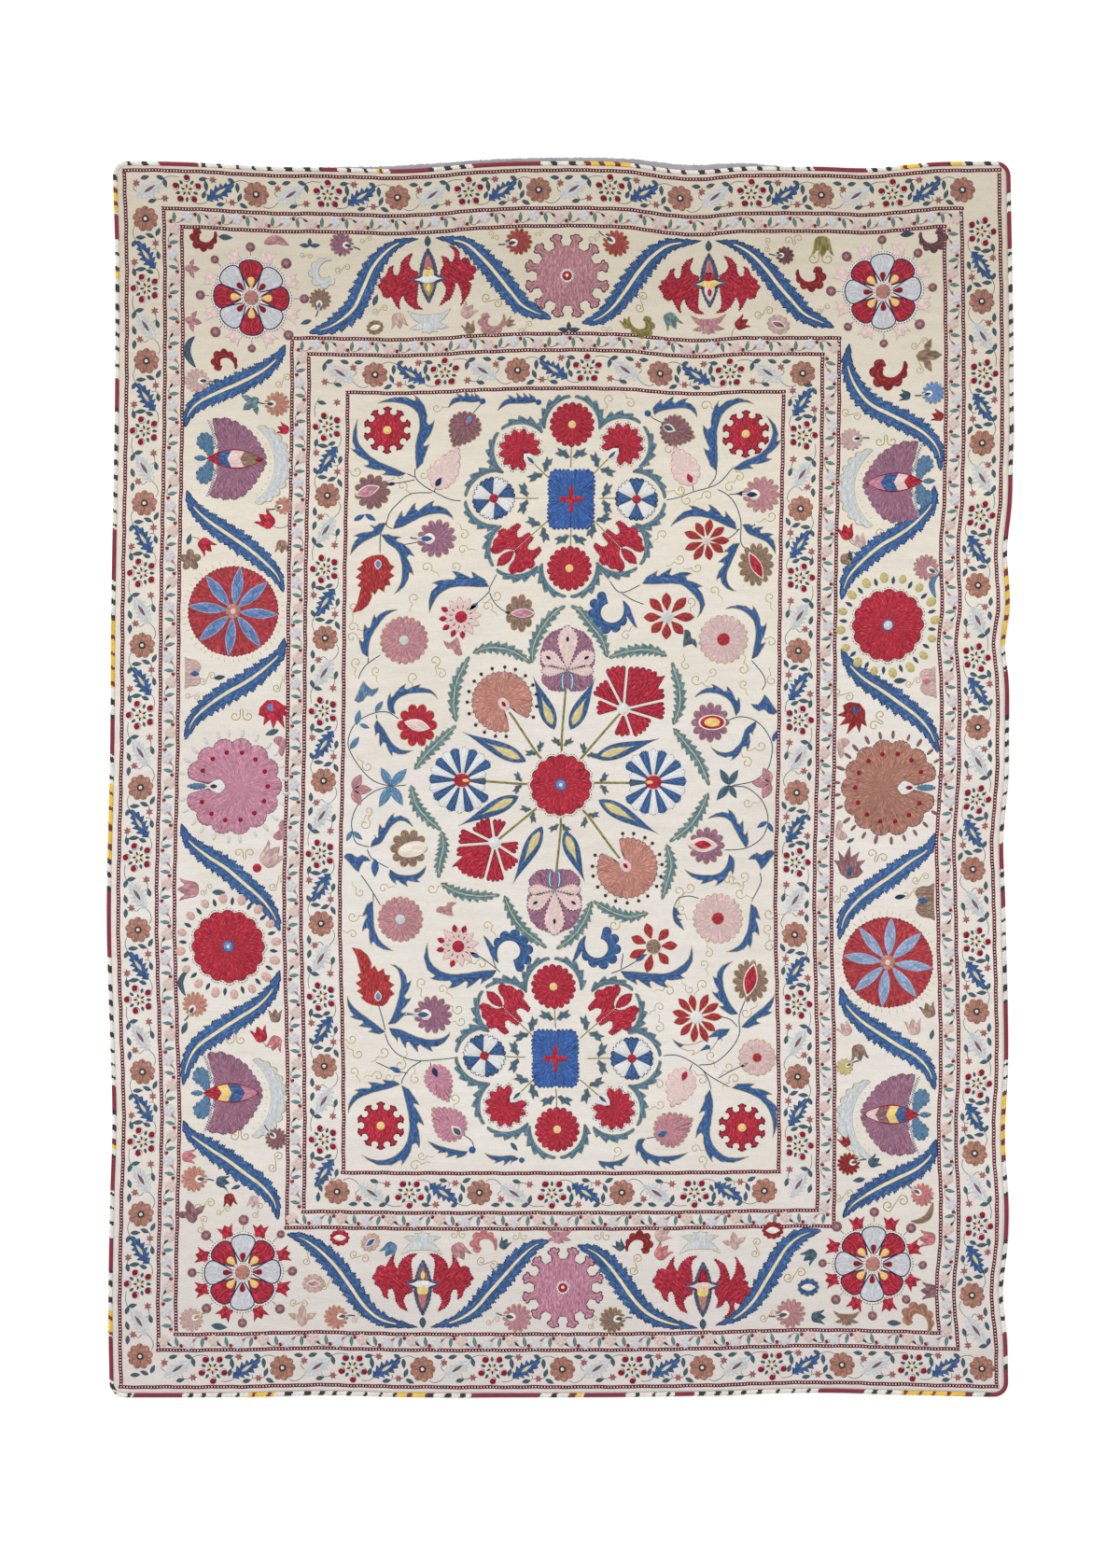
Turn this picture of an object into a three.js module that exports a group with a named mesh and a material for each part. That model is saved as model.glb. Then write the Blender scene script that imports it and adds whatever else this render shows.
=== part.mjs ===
// Suzani: a large cotton cloth, embroidered all over, with a narrow braid sewn round its edge and a
// heading tape sewn behind its top. It lies face up on the surface at z = 0, X across, Y towards its top.
// Millimetres throughout. "Flat" places (across, up) are measured on the cloth before it was laid out.

import * as THREE from "three";

// Driving dimensions
const CLOTH_WIDTH = 1907;
const CLOTH_HEIGHT = 2630;
const CLOTH_THICKNESS = 2;
const CORNER_RADIUS = 22;
const BRAID_WIDTH = 9;
const BRAID_THICKNESS = 3;
const SEAM_GAP = 0.3; // between pieces that are sewn together
const TAPE_THICKNESS = 1.5;
const TAPE_HIDDEN_DEPTH = 50; // how far the tape runs under the cloth, from the braid's outer edge
const TAPE_LEFT_END = -840;
const TAPE_RIGHT_END = 560;

// How finely the sheets are divided
const EDGE_CELLS = 4;
const EDGE_CELL = 40;
const MIDDLE_CELLS_ACROSS = 16;
const MIDDLE_CELLS_UP = 46;
const CORNER_STEPS = 4;
const TAPE_STEPS = 28;

// The whole cloth sways sideways: one row for each sway, at its height on the cloth
const SWAYS = [
  { up: 870, shift: 9, spread: 380 },
  { up: -270, shift: -8, spread: 250 },
  { up: -1130, shift: -5, spread: 200 },
];

// Edges drawn inwards: one row for each dip, "along" being its place along that edge
const DIPS = {
  top: { reach: 680, rows: [
    { along: -620, depth: 11, spread: 150 },
    { along: -350, depth: 17, spread: 170 },
    { along: 280, depth: 20, spread: 115 },
    { along: 470, depth: 10, spread: 90 },
    { along: 650, depth: 15, spread: 120 },
  ] },
  bottom: { reach: 500, rows: [
    { along: -520, depth: 5, spread: 130 },
    { along: 560, depth: 10, spread: 260 },
  ] },
  left: { reach: 260, rows: [
    { along: 1150, depth: 4, spread: 200 },
    { along: -720, depth: 4, spread: 130 },
  ] },
  right: { reach: 240, rows: [
    { along: 490, depth: 8, spread: 70 },
    { along: 290, depth: 10, spread: 60 },
    { along: -130, depth: 7, spread: 90 },
    { along: -760, depth: 9, spread: 110 },
    { along: -1100, depth: 9, spread: 70 },
  ] },
};

// Soft buckles that stand up from the surface at an edge and die out towards the middle
const BUCKLES = {
  top: { reach: 260, rows: [
    { along: -700, height: 4, spread: 70 },
    { along: -190, height: 5, spread: 90 },
    { along: 160, height: 5, spread: 60 },
    { along: 455, height: 7, spread: 60 },
    { along: 780, height: 6, spread: 60 },
  ] },
  bottom: { reach: 200, rows: [
    { along: -600, height: 4, spread: 80 },
    { along: -210, height: 3, spread: 60 },
    { along: 360, height: 5, spread: 60 },
    { along: 690, height: 4, spread: 70 },
  ] },
  left: { reach: 220, rows: [
    { along: 1030, height: 4, spread: 70 },
    { along: 330, height: 4, spread: 90 },
    { along: -330, height: 5, spread: 110 },
    { along: -900, height: 4, spread: 70 },
  ] },
  right: { reach: 230, rows: [
    { along: 745, height: 10, spread: 55 },
    { along: 610, height: 6, spread: 50 },
    { along: 350, height: 9, spread: 50 },
    { along: 15, height: 8, spread: 55 },
    { along: -420, height: 4, spread: 90 },
    { along: -930, height: 10, spread: 60 },
    { along: -1190, height: 6, spread: 55 },
  ] },
};

// How far the heading tape shows above the braid, one row for each place along it
const TAPE_RISES = [
  { across: TAPE_LEFT_END, rise: -6 },
  { across: -520, rise: 0 },
  { across: -400, rise: 6 },
  { across: -320, rise: 10 },
  { across: -100, rise: 8 },
  { across: 80, rise: 9 },
  { across: 190, rise: 12 },
  { across: 290, rise: 13 },
  { across: 400, rise: 9 },
  { across: 500, rise: 0 },
  { across: TAPE_RIGHT_END, rise: -6 },
];

// The cloth is raised over the tape, and comes down to the surface again past it
const TAPE_LIFT = {
  height: TAPE_THICKNESS + SEAM_GAP,
  fullAbove: CLOTH_HEIGHT / 2 - 2 * EDGE_CELL,
  noneBelow: CLOTH_HEIGHT / 2 - 4 * EDGE_CELL,
  fullLeftOf: 680,
  noneRightOf: 800,
};

// Materials
const cottonCream = new THREE.MeshStandardMaterial({ color: 0xe2d9c7, roughness: 0.9, metalness: 0 });
const braidCrimson = new THREE.MeshStandardMaterial({ color: 0x9a2338, roughness: 0.75, metalness: 0 });
const tapeGrey = new THREE.MeshStandardMaterial({ color: 0x9a979c, roughness: 0.95, metalness: 0 });

// The lying shape

const bump = (distance, spread) => Math.exp(-((distance / spread) ** 2));

const sumOfBumps = (rows, along, size) =>
  rows.reduce((sum, row) => sum + row[size] * bump(along - row.along, row.spread), 0);

// Distance of a flat place from each edge, and its place along that edge
const edgesFrom = (across, up) => [
  { edge: "top", distance: CLOTH_HEIGHT / 2 - up, along: across },
  { edge: "bottom", distance: CLOTH_HEIGHT / 2 + up, along: across },
  { edge: "left", distance: CLOTH_WIDTH / 2 + across, along: up },
  { edge: "right", distance: CLOTH_WIDTH / 2 - across, along: up },
];

const INWARDS = { top: [0, -1], bottom: [0, 1], left: [1, 0], right: [-1, 0] };

function tapeLift(across, up) {
  const { height, fullAbove, noneBelow, fullLeftOf, noneRightOf } = TAPE_LIFT;
  const alongTop = 1 - THREE.MathUtils.smoothstep(across, fullLeftOf, noneRightOf);
  return height * alongTop * THREE.MathUtils.smoothstep(up, noneBelow, fullAbove);
}

// Where a flat place of the cloth lies: x and y on the surface, z the height of its underside
function drape(across, up) {
  const lying = new THREE.Vector3(across, up, tapeLift(across, up));
  for (const row of SWAYS) lying.x += row.shift * bump(up - row.up, row.spread);
  for (const { edge, distance, along } of edgesFrom(across, up)) {
    const dip = sumOfBumps(DIPS[edge].rows, along, "depth") * bump(Math.max(distance, 0), DIPS[edge].reach);
    lying.x += INWARDS[edge][0] * dip;
    lying.y += INWARDS[edge][1] * dip;
    const fade = bump(Math.max(distance, 0), BUCKLES[edge].reach);
    lying.z += sumOfBumps(BUCKLES[edge].rows, along, "height") * fade ** 2;
  }
  return lying;
}

// Closed sheet over a grid of lying points: rows of points from bottom to top, each from left to right
function sheetSolid(rows, thickness) {
  const rowCount = rows.length;
  const columnCount = rows[0].length;
  const under = rows.flat().flatMap((point) => [point.x, point.y, point.z]);
  const over = rows.flat().flatMap((point) => [point.x, point.y, point.z + thickness]);
  const faces = [];
  const upper = rowCount * columnCount;
  const at = (row, column) => row * columnCount + column;
  const quad = (a, b, c, d) => faces.push(a, b, c, a, c, d);
  for (let row = 0; row < rowCount - 1; row += 1) {
    for (let column = 0; column < columnCount - 1; column += 1) {
      const corners = [at(row, column), at(row, column + 1), at(row + 1, column + 1), at(row + 1, column)];
      quad(...corners.map((corner) => corner + upper));
      quad(...corners.reverse());
    }
  }
  const wall = (from, to) => quad(from, to, to + upper, from + upper);
  for (let column = 0; column < columnCount - 1; column += 1) {
    wall(at(0, column), at(0, column + 1));
    wall(at(rowCount - 1, column + 1), at(rowCount - 1, column));
  }
  for (let row = 0; row < rowCount - 1; row += 1) {
    wall(at(row, columnCount - 1), at(row + 1, columnCount - 1));
    wall(at(row + 1, 0), at(row, 0));
  }
  const geometry = new THREE.BufferGeometry();
  geometry.setAttribute("position", new THREE.Float32BufferAttribute([...under, ...over], 3));
  geometry.setIndex(faces);
  geometry.computeVertexNormals();
  return geometry;
}

function namedMesh(name, geometry, material) {
  const mesh = new THREE.Mesh(geometry, material);
  mesh.name = name;
  return mesh;
}

// Places along a straight run of a given half length: narrow cells at its ends, wide ones between
function runPlaces(halfLength, middleCells) {
  const band = EDGE_CELLS * EDGE_CELL;
  const places = [];
  for (let cell = 0; cell < EDGE_CELLS; cell += 1) places.push(-halfLength + cell * EDGE_CELL);
  const middle = 2 * (halfLength - band);
  for (let cell = 0; cell <= middleCells; cell += 1) {
    places.push(-halfLength + band + (middle * cell) / middleCells);
  }
  for (let cell = EDGE_CELLS - 1; cell >= 0; cell -= 1) places.push(halfLength - cell * EDGE_CELL);
  return places;
}

const STRAIGHT_ACROSS = CLOTH_WIDTH / 2 - CORNER_RADIUS;
const STRAIGHT_UP = CLOTH_HEIGHT / 2 - CORNER_RADIUS;
const PLACES_ACROSS = runPlaces(STRAIGHT_ACROSS, MIDDLE_CELLS_ACROSS);
const PLACES_UP = runPlaces(STRAIGHT_UP, MIDDLE_CELLS_UP);
const CORNER_ANGLES = Array.from(
  { length: CORNER_STEPS },
  (_, step) => ((step + 1) * Math.PI) / 2 / CORNER_STEPS,
);

// Ground cloth: one sheet with rounded corners
function groundCloth() {
  const levels = PLACES_UP.map((up) => ({ up, half: CLOTH_WIDTH / 2 }));
  for (const angle of CORNER_ANGLES) {
    const up = STRAIGHT_UP + CORNER_RADIUS * Math.sin(angle);
    const half = STRAIGHT_ACROSS + CORNER_RADIUS * Math.cos(angle);
    levels.push({ up, half });
    levels.unshift({ up: -up, half });
  }
  const rows = levels.map(({ up, half }) =>
    PLACES_ACROSS.map((across) => drape((across / STRAIGHT_ACROSS) * half, up)),
  );
  return namedMesh("ground_cloth", sheetSolid(rows, CLOTH_THICKNESS), cottonCream);
}

// Edging braid: one length for each edge, mitred in the middle of the rounded corners
const MITRE_ANGLE = Math.PI / 4 + THREE.MathUtils.degToRad(0.5);

function braidRun(name, quarterTurns, straightPlaces, halfAlong, halfOut) {
  const bend = [MITRE_ANGLE, ...CORNER_ANGLES.filter((angle) => angle > MITRE_ANGLE)];
  const middle = straightPlaces.slice(1, -1).reverse();
  const rails = [SEAM_GAP, SEAM_GAP + BRAID_WIDTH].map((offset) => {
    const reach = CORNER_RADIUS + offset;
    const first = bend.map((angle) => [
      halfAlong + reach * Math.cos(angle),
      halfOut + reach * Math.sin(angle),
    ]);
    const last = first.map(([along, out]) => [-along, out]).reverse();
    const straight = middle.map((along) => [along, halfOut + reach]);
    return [...first, ...straight, ...last];
  });
  const cosine = [1, 0, -1, 0][quarterTurns];
  const sine = [0, 1, 0, -1][quarterTurns];
  const turned = rails.map((rail) =>
    rail.map(([along, out]) => drape(along * cosine - out * sine, along * sine + out * cosine)),
  );
  const rows = turned[0].map((inner, step) => [inner, turned[1][step]]);
  return namedMesh(name, sheetSolid(rows, BRAID_THICKNESS), braidCrimson);
}

// Heading tape: flat on the surface, its upper edge as uneven as the braid it stands behind
function riseAt(across) {
  const next = Math.max(1, TAPE_RISES.findIndex((row) => row.across >= across));
  const before = TAPE_RISES[next - 1];
  const after = TAPE_RISES[next];
  const share = (across - before.across) / (after.across - before.across);
  return THREE.MathUtils.lerp(before.rise, after.rise, share);
}

function headingTape() {
  const braidTop = CLOTH_HEIGHT / 2 + SEAM_GAP + BRAID_WIDTH;
  const lower = [];
  const upper = [];
  for (let step = 0; step <= TAPE_STEPS; step += 1) {
    const across = THREE.MathUtils.lerp(TAPE_LEFT_END, TAPE_RIGHT_END, step / TAPE_STEPS);
    lower.push(drape(across, braidTop - TAPE_HIDDEN_DEPTH).setZ(0));
    upper.push(drape(across, braidTop + riseAt(across)).setZ(0));
  }
  return namedMesh("heading_tape", sheetSolid([lower, upper], TAPE_THICKNESS), tapeGrey);
}

const suzani = new THREE.Group();
suzani.add(groundCloth());
suzani.add(braidRun("braid_top", 0, PLACES_ACROSS, STRAIGHT_ACROSS, STRAIGHT_UP));
suzani.add(braidRun("braid_left", 1, PLACES_UP, STRAIGHT_UP, STRAIGHT_ACROSS));
suzani.add(braidRun("braid_bottom", 2, PLACES_ACROSS, STRAIGHT_ACROSS, STRAIGHT_UP));
suzani.add(braidRun("braid_right", 3, PLACES_UP, STRAIGHT_UP, STRAIGHT_ACROSS));
suzani.add(headingTape());

// The origin is under the middle of the whole piece, on the surface it lies on
const middle = new THREE.Box3().setFromObject(suzani).getCenter(new THREE.Vector3());
suzani.position.set(-middle.x, -middle.y, 0);

export default suzani;
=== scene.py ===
import math

import bpy
import numpy as np
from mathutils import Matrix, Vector
from mathutils.geometry import tessellate_polygon


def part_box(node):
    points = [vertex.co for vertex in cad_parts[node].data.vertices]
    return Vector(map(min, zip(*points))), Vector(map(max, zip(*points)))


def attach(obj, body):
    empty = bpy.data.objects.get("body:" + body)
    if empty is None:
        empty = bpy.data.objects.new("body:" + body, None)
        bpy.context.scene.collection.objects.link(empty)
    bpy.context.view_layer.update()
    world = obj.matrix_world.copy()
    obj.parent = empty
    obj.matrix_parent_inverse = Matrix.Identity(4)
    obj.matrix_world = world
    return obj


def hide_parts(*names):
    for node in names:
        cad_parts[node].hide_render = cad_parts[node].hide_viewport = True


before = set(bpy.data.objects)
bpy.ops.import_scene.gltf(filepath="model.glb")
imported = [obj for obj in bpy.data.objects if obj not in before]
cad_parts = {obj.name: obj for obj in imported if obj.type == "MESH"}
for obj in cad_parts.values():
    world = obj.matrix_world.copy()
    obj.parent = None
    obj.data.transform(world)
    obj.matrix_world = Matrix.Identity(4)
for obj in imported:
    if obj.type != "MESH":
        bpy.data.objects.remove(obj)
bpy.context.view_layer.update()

print("suzani: frame loaded, nodes", sorted(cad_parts))


# The cloth as it lies, in mm. From its middle, flat places run "across" to the right and "up" to the top.
clothShape = {
    "width": 1907.0,
    "height": 2630.0,
    "thickness": 2.0,
    "cornerRadius": 22.0,
    "gridPitch": 14.0,
    "sways": [  # up, shift, spread
        (870, 9, 380),
        (-270, -8, 250),
        (-1130, -5, 200),
    ],
    "dips": {  # edge: reach, then along, depth, spread of each dip
        "top": (680, [(-620, 11, 150), (-350, 17, 170), (280, 20, 115), (470, 10, 90), (650, 15, 120)]),
        "bottom": (500, [(-520, 5, 130), (560, 10, 260)]),
        "left": (260, [(1150, 4, 200), (-720, 4, 130)]),
        "right": (240, [(490, 8, 70), (290, 10, 60), (-130, 7, 90), (-760, 9, 110), (-1100, 9, 70)]),
    },
    "buckles": {  # edge: reach, then along, height, spread of each buckle
        "top": (260, [(-700, 4, 70), (-190, 5, 90), (160, 5, 60), (455, 7, 60), (780, 6, 60)]),
        "bottom": (200, [(-600, 4, 80), (-210, 3, 60), (360, 5, 60), (690, 4, 70)]),
        "left": (220, [(1030, 4, 70), (330, 4, 90), (-330, 5, 110), (-900, 4, 70)]),
        "right": (230, [(745, 10, 55), (610, 6, 50), (350, 9, 50), (15, 8, 55), (-420, 4, 90),
                        (-930, 10, 60), (-1190, 6, 55)]),
    },
    "tapeLift": {"height": 1.8, "fullAbove": 1235.0, "noneBelow": 1155.0, "fullLeftOf": 680.0,
                 "noneRightOf": 800.0},
}


def hump(distance, spread):
    return np.exp(-(distance / spread) ** 2)


def humps(rows, along):
    return sum(size * hump(along - place, spread) for place, size, spread in rows)


def softStep(value, start, end):
    share = np.clip((value - start) / (end - start), 0, 1)
    return share * share * (3 - 2 * share)


def edgesFrom(across, up):  # edge, distance from it, place along it, the way inwards
    halfWidth = clothShape["width"] / 2
    halfHeight = clothShape["height"] / 2
    return [
        ("top", np.maximum(halfHeight - up, 0), across, (0, -1)),
        ("bottom", np.maximum(halfHeight + up, 0), across, (0, 1)),
        ("left", np.maximum(halfWidth + across, 0), up, (1, 0)),
        ("right", np.maximum(halfWidth - across, 0), up, (-1, 0)),
    ]


def slideOf(across, up):  # how far a flat place moves on the surface as the cloth is laid out
    slideX = humps(clothShape["sways"], up)
    slideY = np.zeros_like(slideX)
    for edge, distance, along, inwards in edgesFrom(across, up):
        reach, rows = clothShape["dips"][edge]
        dip = humps(rows, along) * hump(distance, reach)
        slideX = slideX + inwards[0] * dip
        slideY = slideY + inwards[1] * dip
    return slideX, slideY


def liftOf(across, up):  # height of the cloth's underside above the surface
    over = clothShape["tapeLift"]
    lift = over["height"] * (1 - softStep(across, over["fullLeftOf"], over["noneRightOf"]))
    lift = lift * softStep(up, over["noneBelow"], over["fullAbove"])
    for edge, distance, along, inwards in edgesFrom(across, up):
        reach, rows = clothShape["buckles"][edge]
        lift = lift + humps(rows, along) * hump(distance, reach) ** 2
    return lift


def flatPlace(x, y):  # the flat place that lies at x, y
    across, up = np.asarray(x, float), np.asarray(y, float)
    for attempt in range(4):
        slideX, slideY = slideOf(across, up)
        across, up = x - slideX, y - slideY
    return across, up


def clothOutline(offset=0.0, arcSteps=6):  # rounded rectangle round the flat cloth, anticlockwise
    radius = clothShape["cornerRadius"]
    halfX = clothShape["width"] / 2 - radius
    halfY = clothShape["height"] / 2 - radius
    points = []
    for quarter, (signX, signY) in enumerate([(1, 1), (-1, 1), (-1, -1), (1, -1)]):
        for step in range(arcSteps + 1):
            angle = (quarter + step / arcSteps) * math.pi / 2
            points.append((signX * halfX + (radius + offset) * math.cos(angle),
                           signY * halfY + (radius + offset) * math.sin(angle)))
    return np.array(points)


def lyingMiddle():  # middle of the laid cloth's box, from rails finer than its folds
    halfWidth, halfHeight = clothShape["width"] / 2, clothShape["height"] / 2
    alongX = np.linspace(-halfWidth + 22, halfWidth - 22, 400)
    alongY = np.linspace(-halfHeight + 22, halfHeight - 22, 600)
    rightX = (halfWidth + slideOf(np.full(600, halfWidth), alongY)[0]).max()
    leftX = (-halfWidth + slideOf(np.full(600, -halfWidth), alongY)[0]).min()
    topY = (halfHeight + slideOf(alongX, np.full(400, halfHeight))[1]).max()
    bottomY = (-halfHeight + slideOf(alongX, np.full(400, -halfHeight))[1]).min()
    return (leftX + rightX) / 2, (bottomY + topY) / 2


clothLow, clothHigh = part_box("ground_cloth")
ownMiddle = lyingMiddle()
frameShift = (500 * (clothLow.x + clothHigh.x) - ownMiddle[0],
              500 * (clothLow.y + clothHigh.y) - ownMiddle[1])


def intoFrame(across, up, rise):  # flat mm, and height over the cloth's underside, to metres in the frame
    slideX, slideY = slideOf(across, up)
    x = across + slideX + frameShift[0]
    y = up + slideY + frameShift[1]
    return np.stack([x, y, liftOf(across, up) + rise], axis=-1) / 1000


# Thread and cloth colours as they look in daylight, red green blue from 0 to 255
threadColours = {
    "crimson": (177, 43, 62), "deepRed": (148, 24, 44), "wine": (102, 22, 42), "scarlet": (168, 53, 56),
    "fadedRed": (170, 78, 75), "royal": (61, 97, 148), "navy": (34, 49, 90), "dusty": (198, 168, 163),
    "petal": (213, 184, 182), "sand": (200, 187, 124), "rust": (144, 44, 47), "mulberry": (114, 74, 80),
    "cobalt": (60, 98, 166), "sky": (110, 142, 193),
    "paleBlue": (202, 206, 208), "silver": (202, 203, 208), "steel": (92, 127, 160), "slate": (76, 90, 118),
    "teal": (72, 95, 110), "darkTeal": (58, 80, 96), "mauve": (186, 134, 141), "violet": (152, 107, 130),
    "plum": (140, 100, 106), "pink": (195, 136, 156), "salmon": (191, 134, 121), "rose": (196, 122, 126),
    "blush": (227, 201, 196), "taupe": (144, 118, 102), "yellow": (234, 204, 126), "straw": (223, 207, 161),
    "gold": (176, 158, 96), "olive": (140, 132, 80), "cream": (232, 224, 208), "white": (226, 226, 224),
    "brown": (78, 50, 46), "black": (36, 28, 32), "ice": (152, 175, 208), "rosyBead": (216, 178, 168),
    "seaGreen": (103, 135, 143), "frost": (209, 208, 214), "clay": (172, 122, 107),
    "shell": (217, 195, 189),
}


def linear(rgb):  # screen colour to the light values that shaders use
    share = np.asarray(rgb, float) / 255
    return np.where(share <= 0.04045, share / 12.92, ((share + 0.055) / 1.055) ** 2.4)


thread = {name: linear(rgb) for name, rgb in threadColours.items()}


# Embroidery is laid out on a chart: places are counted in stitches, across from the left and down from the
# top, as the finished cloth lies.
chart = {"stitchMm": 2.0, "middleAcross": 600.0, "middleDown": 835.0}


def spotFlat(across, up, turn=0.0, size=1.0, mirror=1):
    return {"across": float(across), "up": float(up), "turn": turn, "mm": chart["stitchMm"] * size,
            "mirror": mirror}


def spotAt(across, down, turn=0.0, size=1.0, mirror=1):  # turn in degrees, anticlockwise
    x = (across - chart["middleAcross"]) * chart["stitchMm"]
    y = (chart["middleDown"] - down) * chart["stitchMm"]
    flatAcross, flatUp = flatPlace(x, y)
    return spotFlat(flatAcross, flatUp, math.radians(turn), size, mirror)


def intoCloth(spot, local):  # stitches round a spot, x right and y up, to flat mm
    x = local[..., 0] * spot["mm"]
    y = local[..., 1] * spot["mm"] * spot["mirror"]
    cosine, sine = math.cos(spot["turn"]), math.sin(spot["turn"])
    return np.stack([spot["across"] + cosine * x - sine * y, spot["up"] + sine * x + cosine * y], axis=-1)


def shifted(spot, x, y, turn=0.0):  # a spot given in another spot's own stitches, turn in degrees
    across, up = intoCloth(spot, np.array([x, y], float))
    inner = dict(spot, across=float(across), up=float(up))
    inner["turn"] = spot["turn"] + spot["mirror"] * math.radians(turn)
    return inner


# Stitching is gathered in patches, each a grid of points, and joined into one mesh for each part
relief = {
    "rim": -0.35, "fill": 0.9, "top": 0.5, "layer": 0.5, "firstLayer": 0.95,  # mm over the cloth
    # stitches: radius of a fill with few rings, half width of a plain ribbon
    "plainBelow": 7.0, "slimBelow": 1.1,
}


def newStitching():
    return {"flat": [], "rise": [], "corners": [], "tints": [], "grain": [], "sides": [], "count": 0}


def addFaces(work, index, tints, grain):
    work["corners"].append(index.reshape(-1))
    work["tints"].append(np.repeat(tints.reshape(-1, 3), index.shape[-1], axis=0))
    work["grain"].append(grain.reshape(-1, 2))
    work["sides"].append(np.full(len(tints.reshape(-1, 3)), index.shape[-1]))


def addPatch(work, spot, local, rise, tint, grain, wrap=False, pole=False):
    rows, columns = local.shape[:2]
    flat = intoCloth(spot, local)
    index = np.arange(rows * columns).reshape(rows, columns) + work["count"]
    if wrap:
        index = np.concatenate([index, index[:, :1]], axis=1)
    corners = np.stack([index[:-1, :-1], index[:-1, 1:], index[1:, 1:], index[1:, :-1]], axis=-1)
    grains = np.stack([grain[:-1, :-1], grain[:-1, 1:], grain[1:, 1:], grain[1:, :-1]], axis=-2)
    tints = np.broadcast_to(tint, corners.shape[:2] + (3,))
    ring = flat if not wrap else np.concatenate([flat, flat[:, :1]], axis=1)
    side = ring[:-1, 1:] - ring[:-1, :-1]
    rest = ring[1:, :-1] - ring[:-1, :-1]
    if (side[..., 0] * rest[..., 1] - side[..., 1] * rest[..., 0]).sum() < 0:
        corners, grains = corners[..., ::-1], grains[..., ::-1, :]
    flat = flat.reshape(-1, 2)
    rise = np.broadcast_to(rise, (rows, columns)).reshape(-1)
    if pole:  # the last row is one point
        last = (rows - 1) * columns
        flat, rise = flat[:last + 1], rise[:last + 1]
        tip = corners[-1].copy()
        tip[tip >= last + work["count"]] = last + work["count"]
        first = tip[0]
        keep = [k for k in range(4) if not (first[k] == last + work["count"]
                                            and first[k - 1] == last + work["count"])]
        addFaces(work, tip[:, keep], tints[-1], grains[-1][:, keep])
        corners, tints, grains = corners[:-1], tints[:-1], grains[:-1]
    if len(corners):
        addFaces(work, corners.reshape(-1, 4), tints, grains)
    work["flat"].append(flat)
    work["rise"].append(rise)
    work["count"] += len(flat)


def baseOf(level):
    return 0.0 if level == 0 else relief["firstLayer"] + relief["layer"] * (level - 1)


def along(line):  # distance along a line of points
    steps = np.linalg.norm(np.diff(line, axis=0), axis=1)
    return np.concatenate([[0.0], np.cumsum(steps)])


def smoothLine(points, steps, closed=False):  # a curve through a few points
    points = np.asarray(points, float)
    count = len(points)
    if closed:
        padded = np.concatenate([points[-1:], points, points[:2]])
        spans = count
    else:
        padded = np.concatenate([2 * points[:1] - points[1:2], points, 2 * points[-1:] - points[-2:-1]])
        spans = count - 1
    curve = []
    for span in range(spans):
        before, start, end, after = padded[span:span + 4]
        t = np.linspace(0, 1, steps, endpoint=False)[:, None]
        curve.append(0.5 * (2 * start + (end - before) * t
                            + (2 * before - 5 * start + 4 * end - after) * t ** 2
                            + (3 * start - before - 3 * end + after) * t ** 3))
    if not closed:
        curve.append(points[-1:])
    return np.concatenate(curve)


def runGrain(local, flow):  # stitches that run one way, at an angle in degrees
    cosine, sine = math.cos(math.radians(flow)), math.sin(math.radians(flow))
    return np.stack([-sine * local[..., 0] + cosine * local[..., 1],
                     cosine * local[..., 0] + sine * local[..., 1]], axis=-1)


def fillAny(work, spot, outline, tint, level=0, rim=None, rimWidth=0.6, flow=0.0, grain=None):
    outline = np.asarray(outline, float)
    after, before = np.roll(outline, -1, axis=0), np.roll(outline, 1, axis=0)
    if (outline[:, 0] * after[:, 1] - outline[:, 1] * after[:, 0]).sum() < 0:
        outline, after, before = outline[::-1], before[::-1], after[::-1]
        grain = None if grain is None else grain[::-1]
    step = after - before
    step /= np.maximum(np.linalg.norm(step, axis=1, keepdims=True), 1e-6)
    inwards = np.stack([-step[:, 1], step[:, 0]], axis=1)
    local = outline[None] + inwards[None] * (rimWidth * np.array([0, 0.5, 1.0]))[:, None, None]
    height = relief["fill"] if level == 0 else relief["top"]
    rises = baseOf(level) + np.array([relief["rim"], height * 0.75, height])
    own = runGrain(local, flow) if grain is None else np.broadcast_to(grain, local.shape)
    own = own * chart["stitchMm"]
    ringed = np.concatenate([own, own[:, :1]], axis=1)
    edging = np.broadcast_to(np.asarray(tint if rim is None else rim, float), (2, len(outline), 3))
    addPatch(work, spot, local, rises[:, None], edging, ringed, wrap=True)
    first = work["count"] - len(outline)
    facets = np.array(tessellate_polygon([[Vector((x, y, 0.0)) for x, y in local[2]]]))
    flat = intoCloth(spot, local[2])[facets]
    sideA, sideB = flat[:, 1] - flat[:, 0], flat[:, 2] - flat[:, 0]
    turned = sideA[:, 0] * sideB[:, 1] - sideA[:, 1] * sideB[:, 0] < 0
    facets[turned] = facets[turned][:, ::-1]
    addFaces(work, facets + first, np.broadcast_to(np.asarray(tint, float), (len(facets), 3)),
             own[2][facets])


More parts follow.
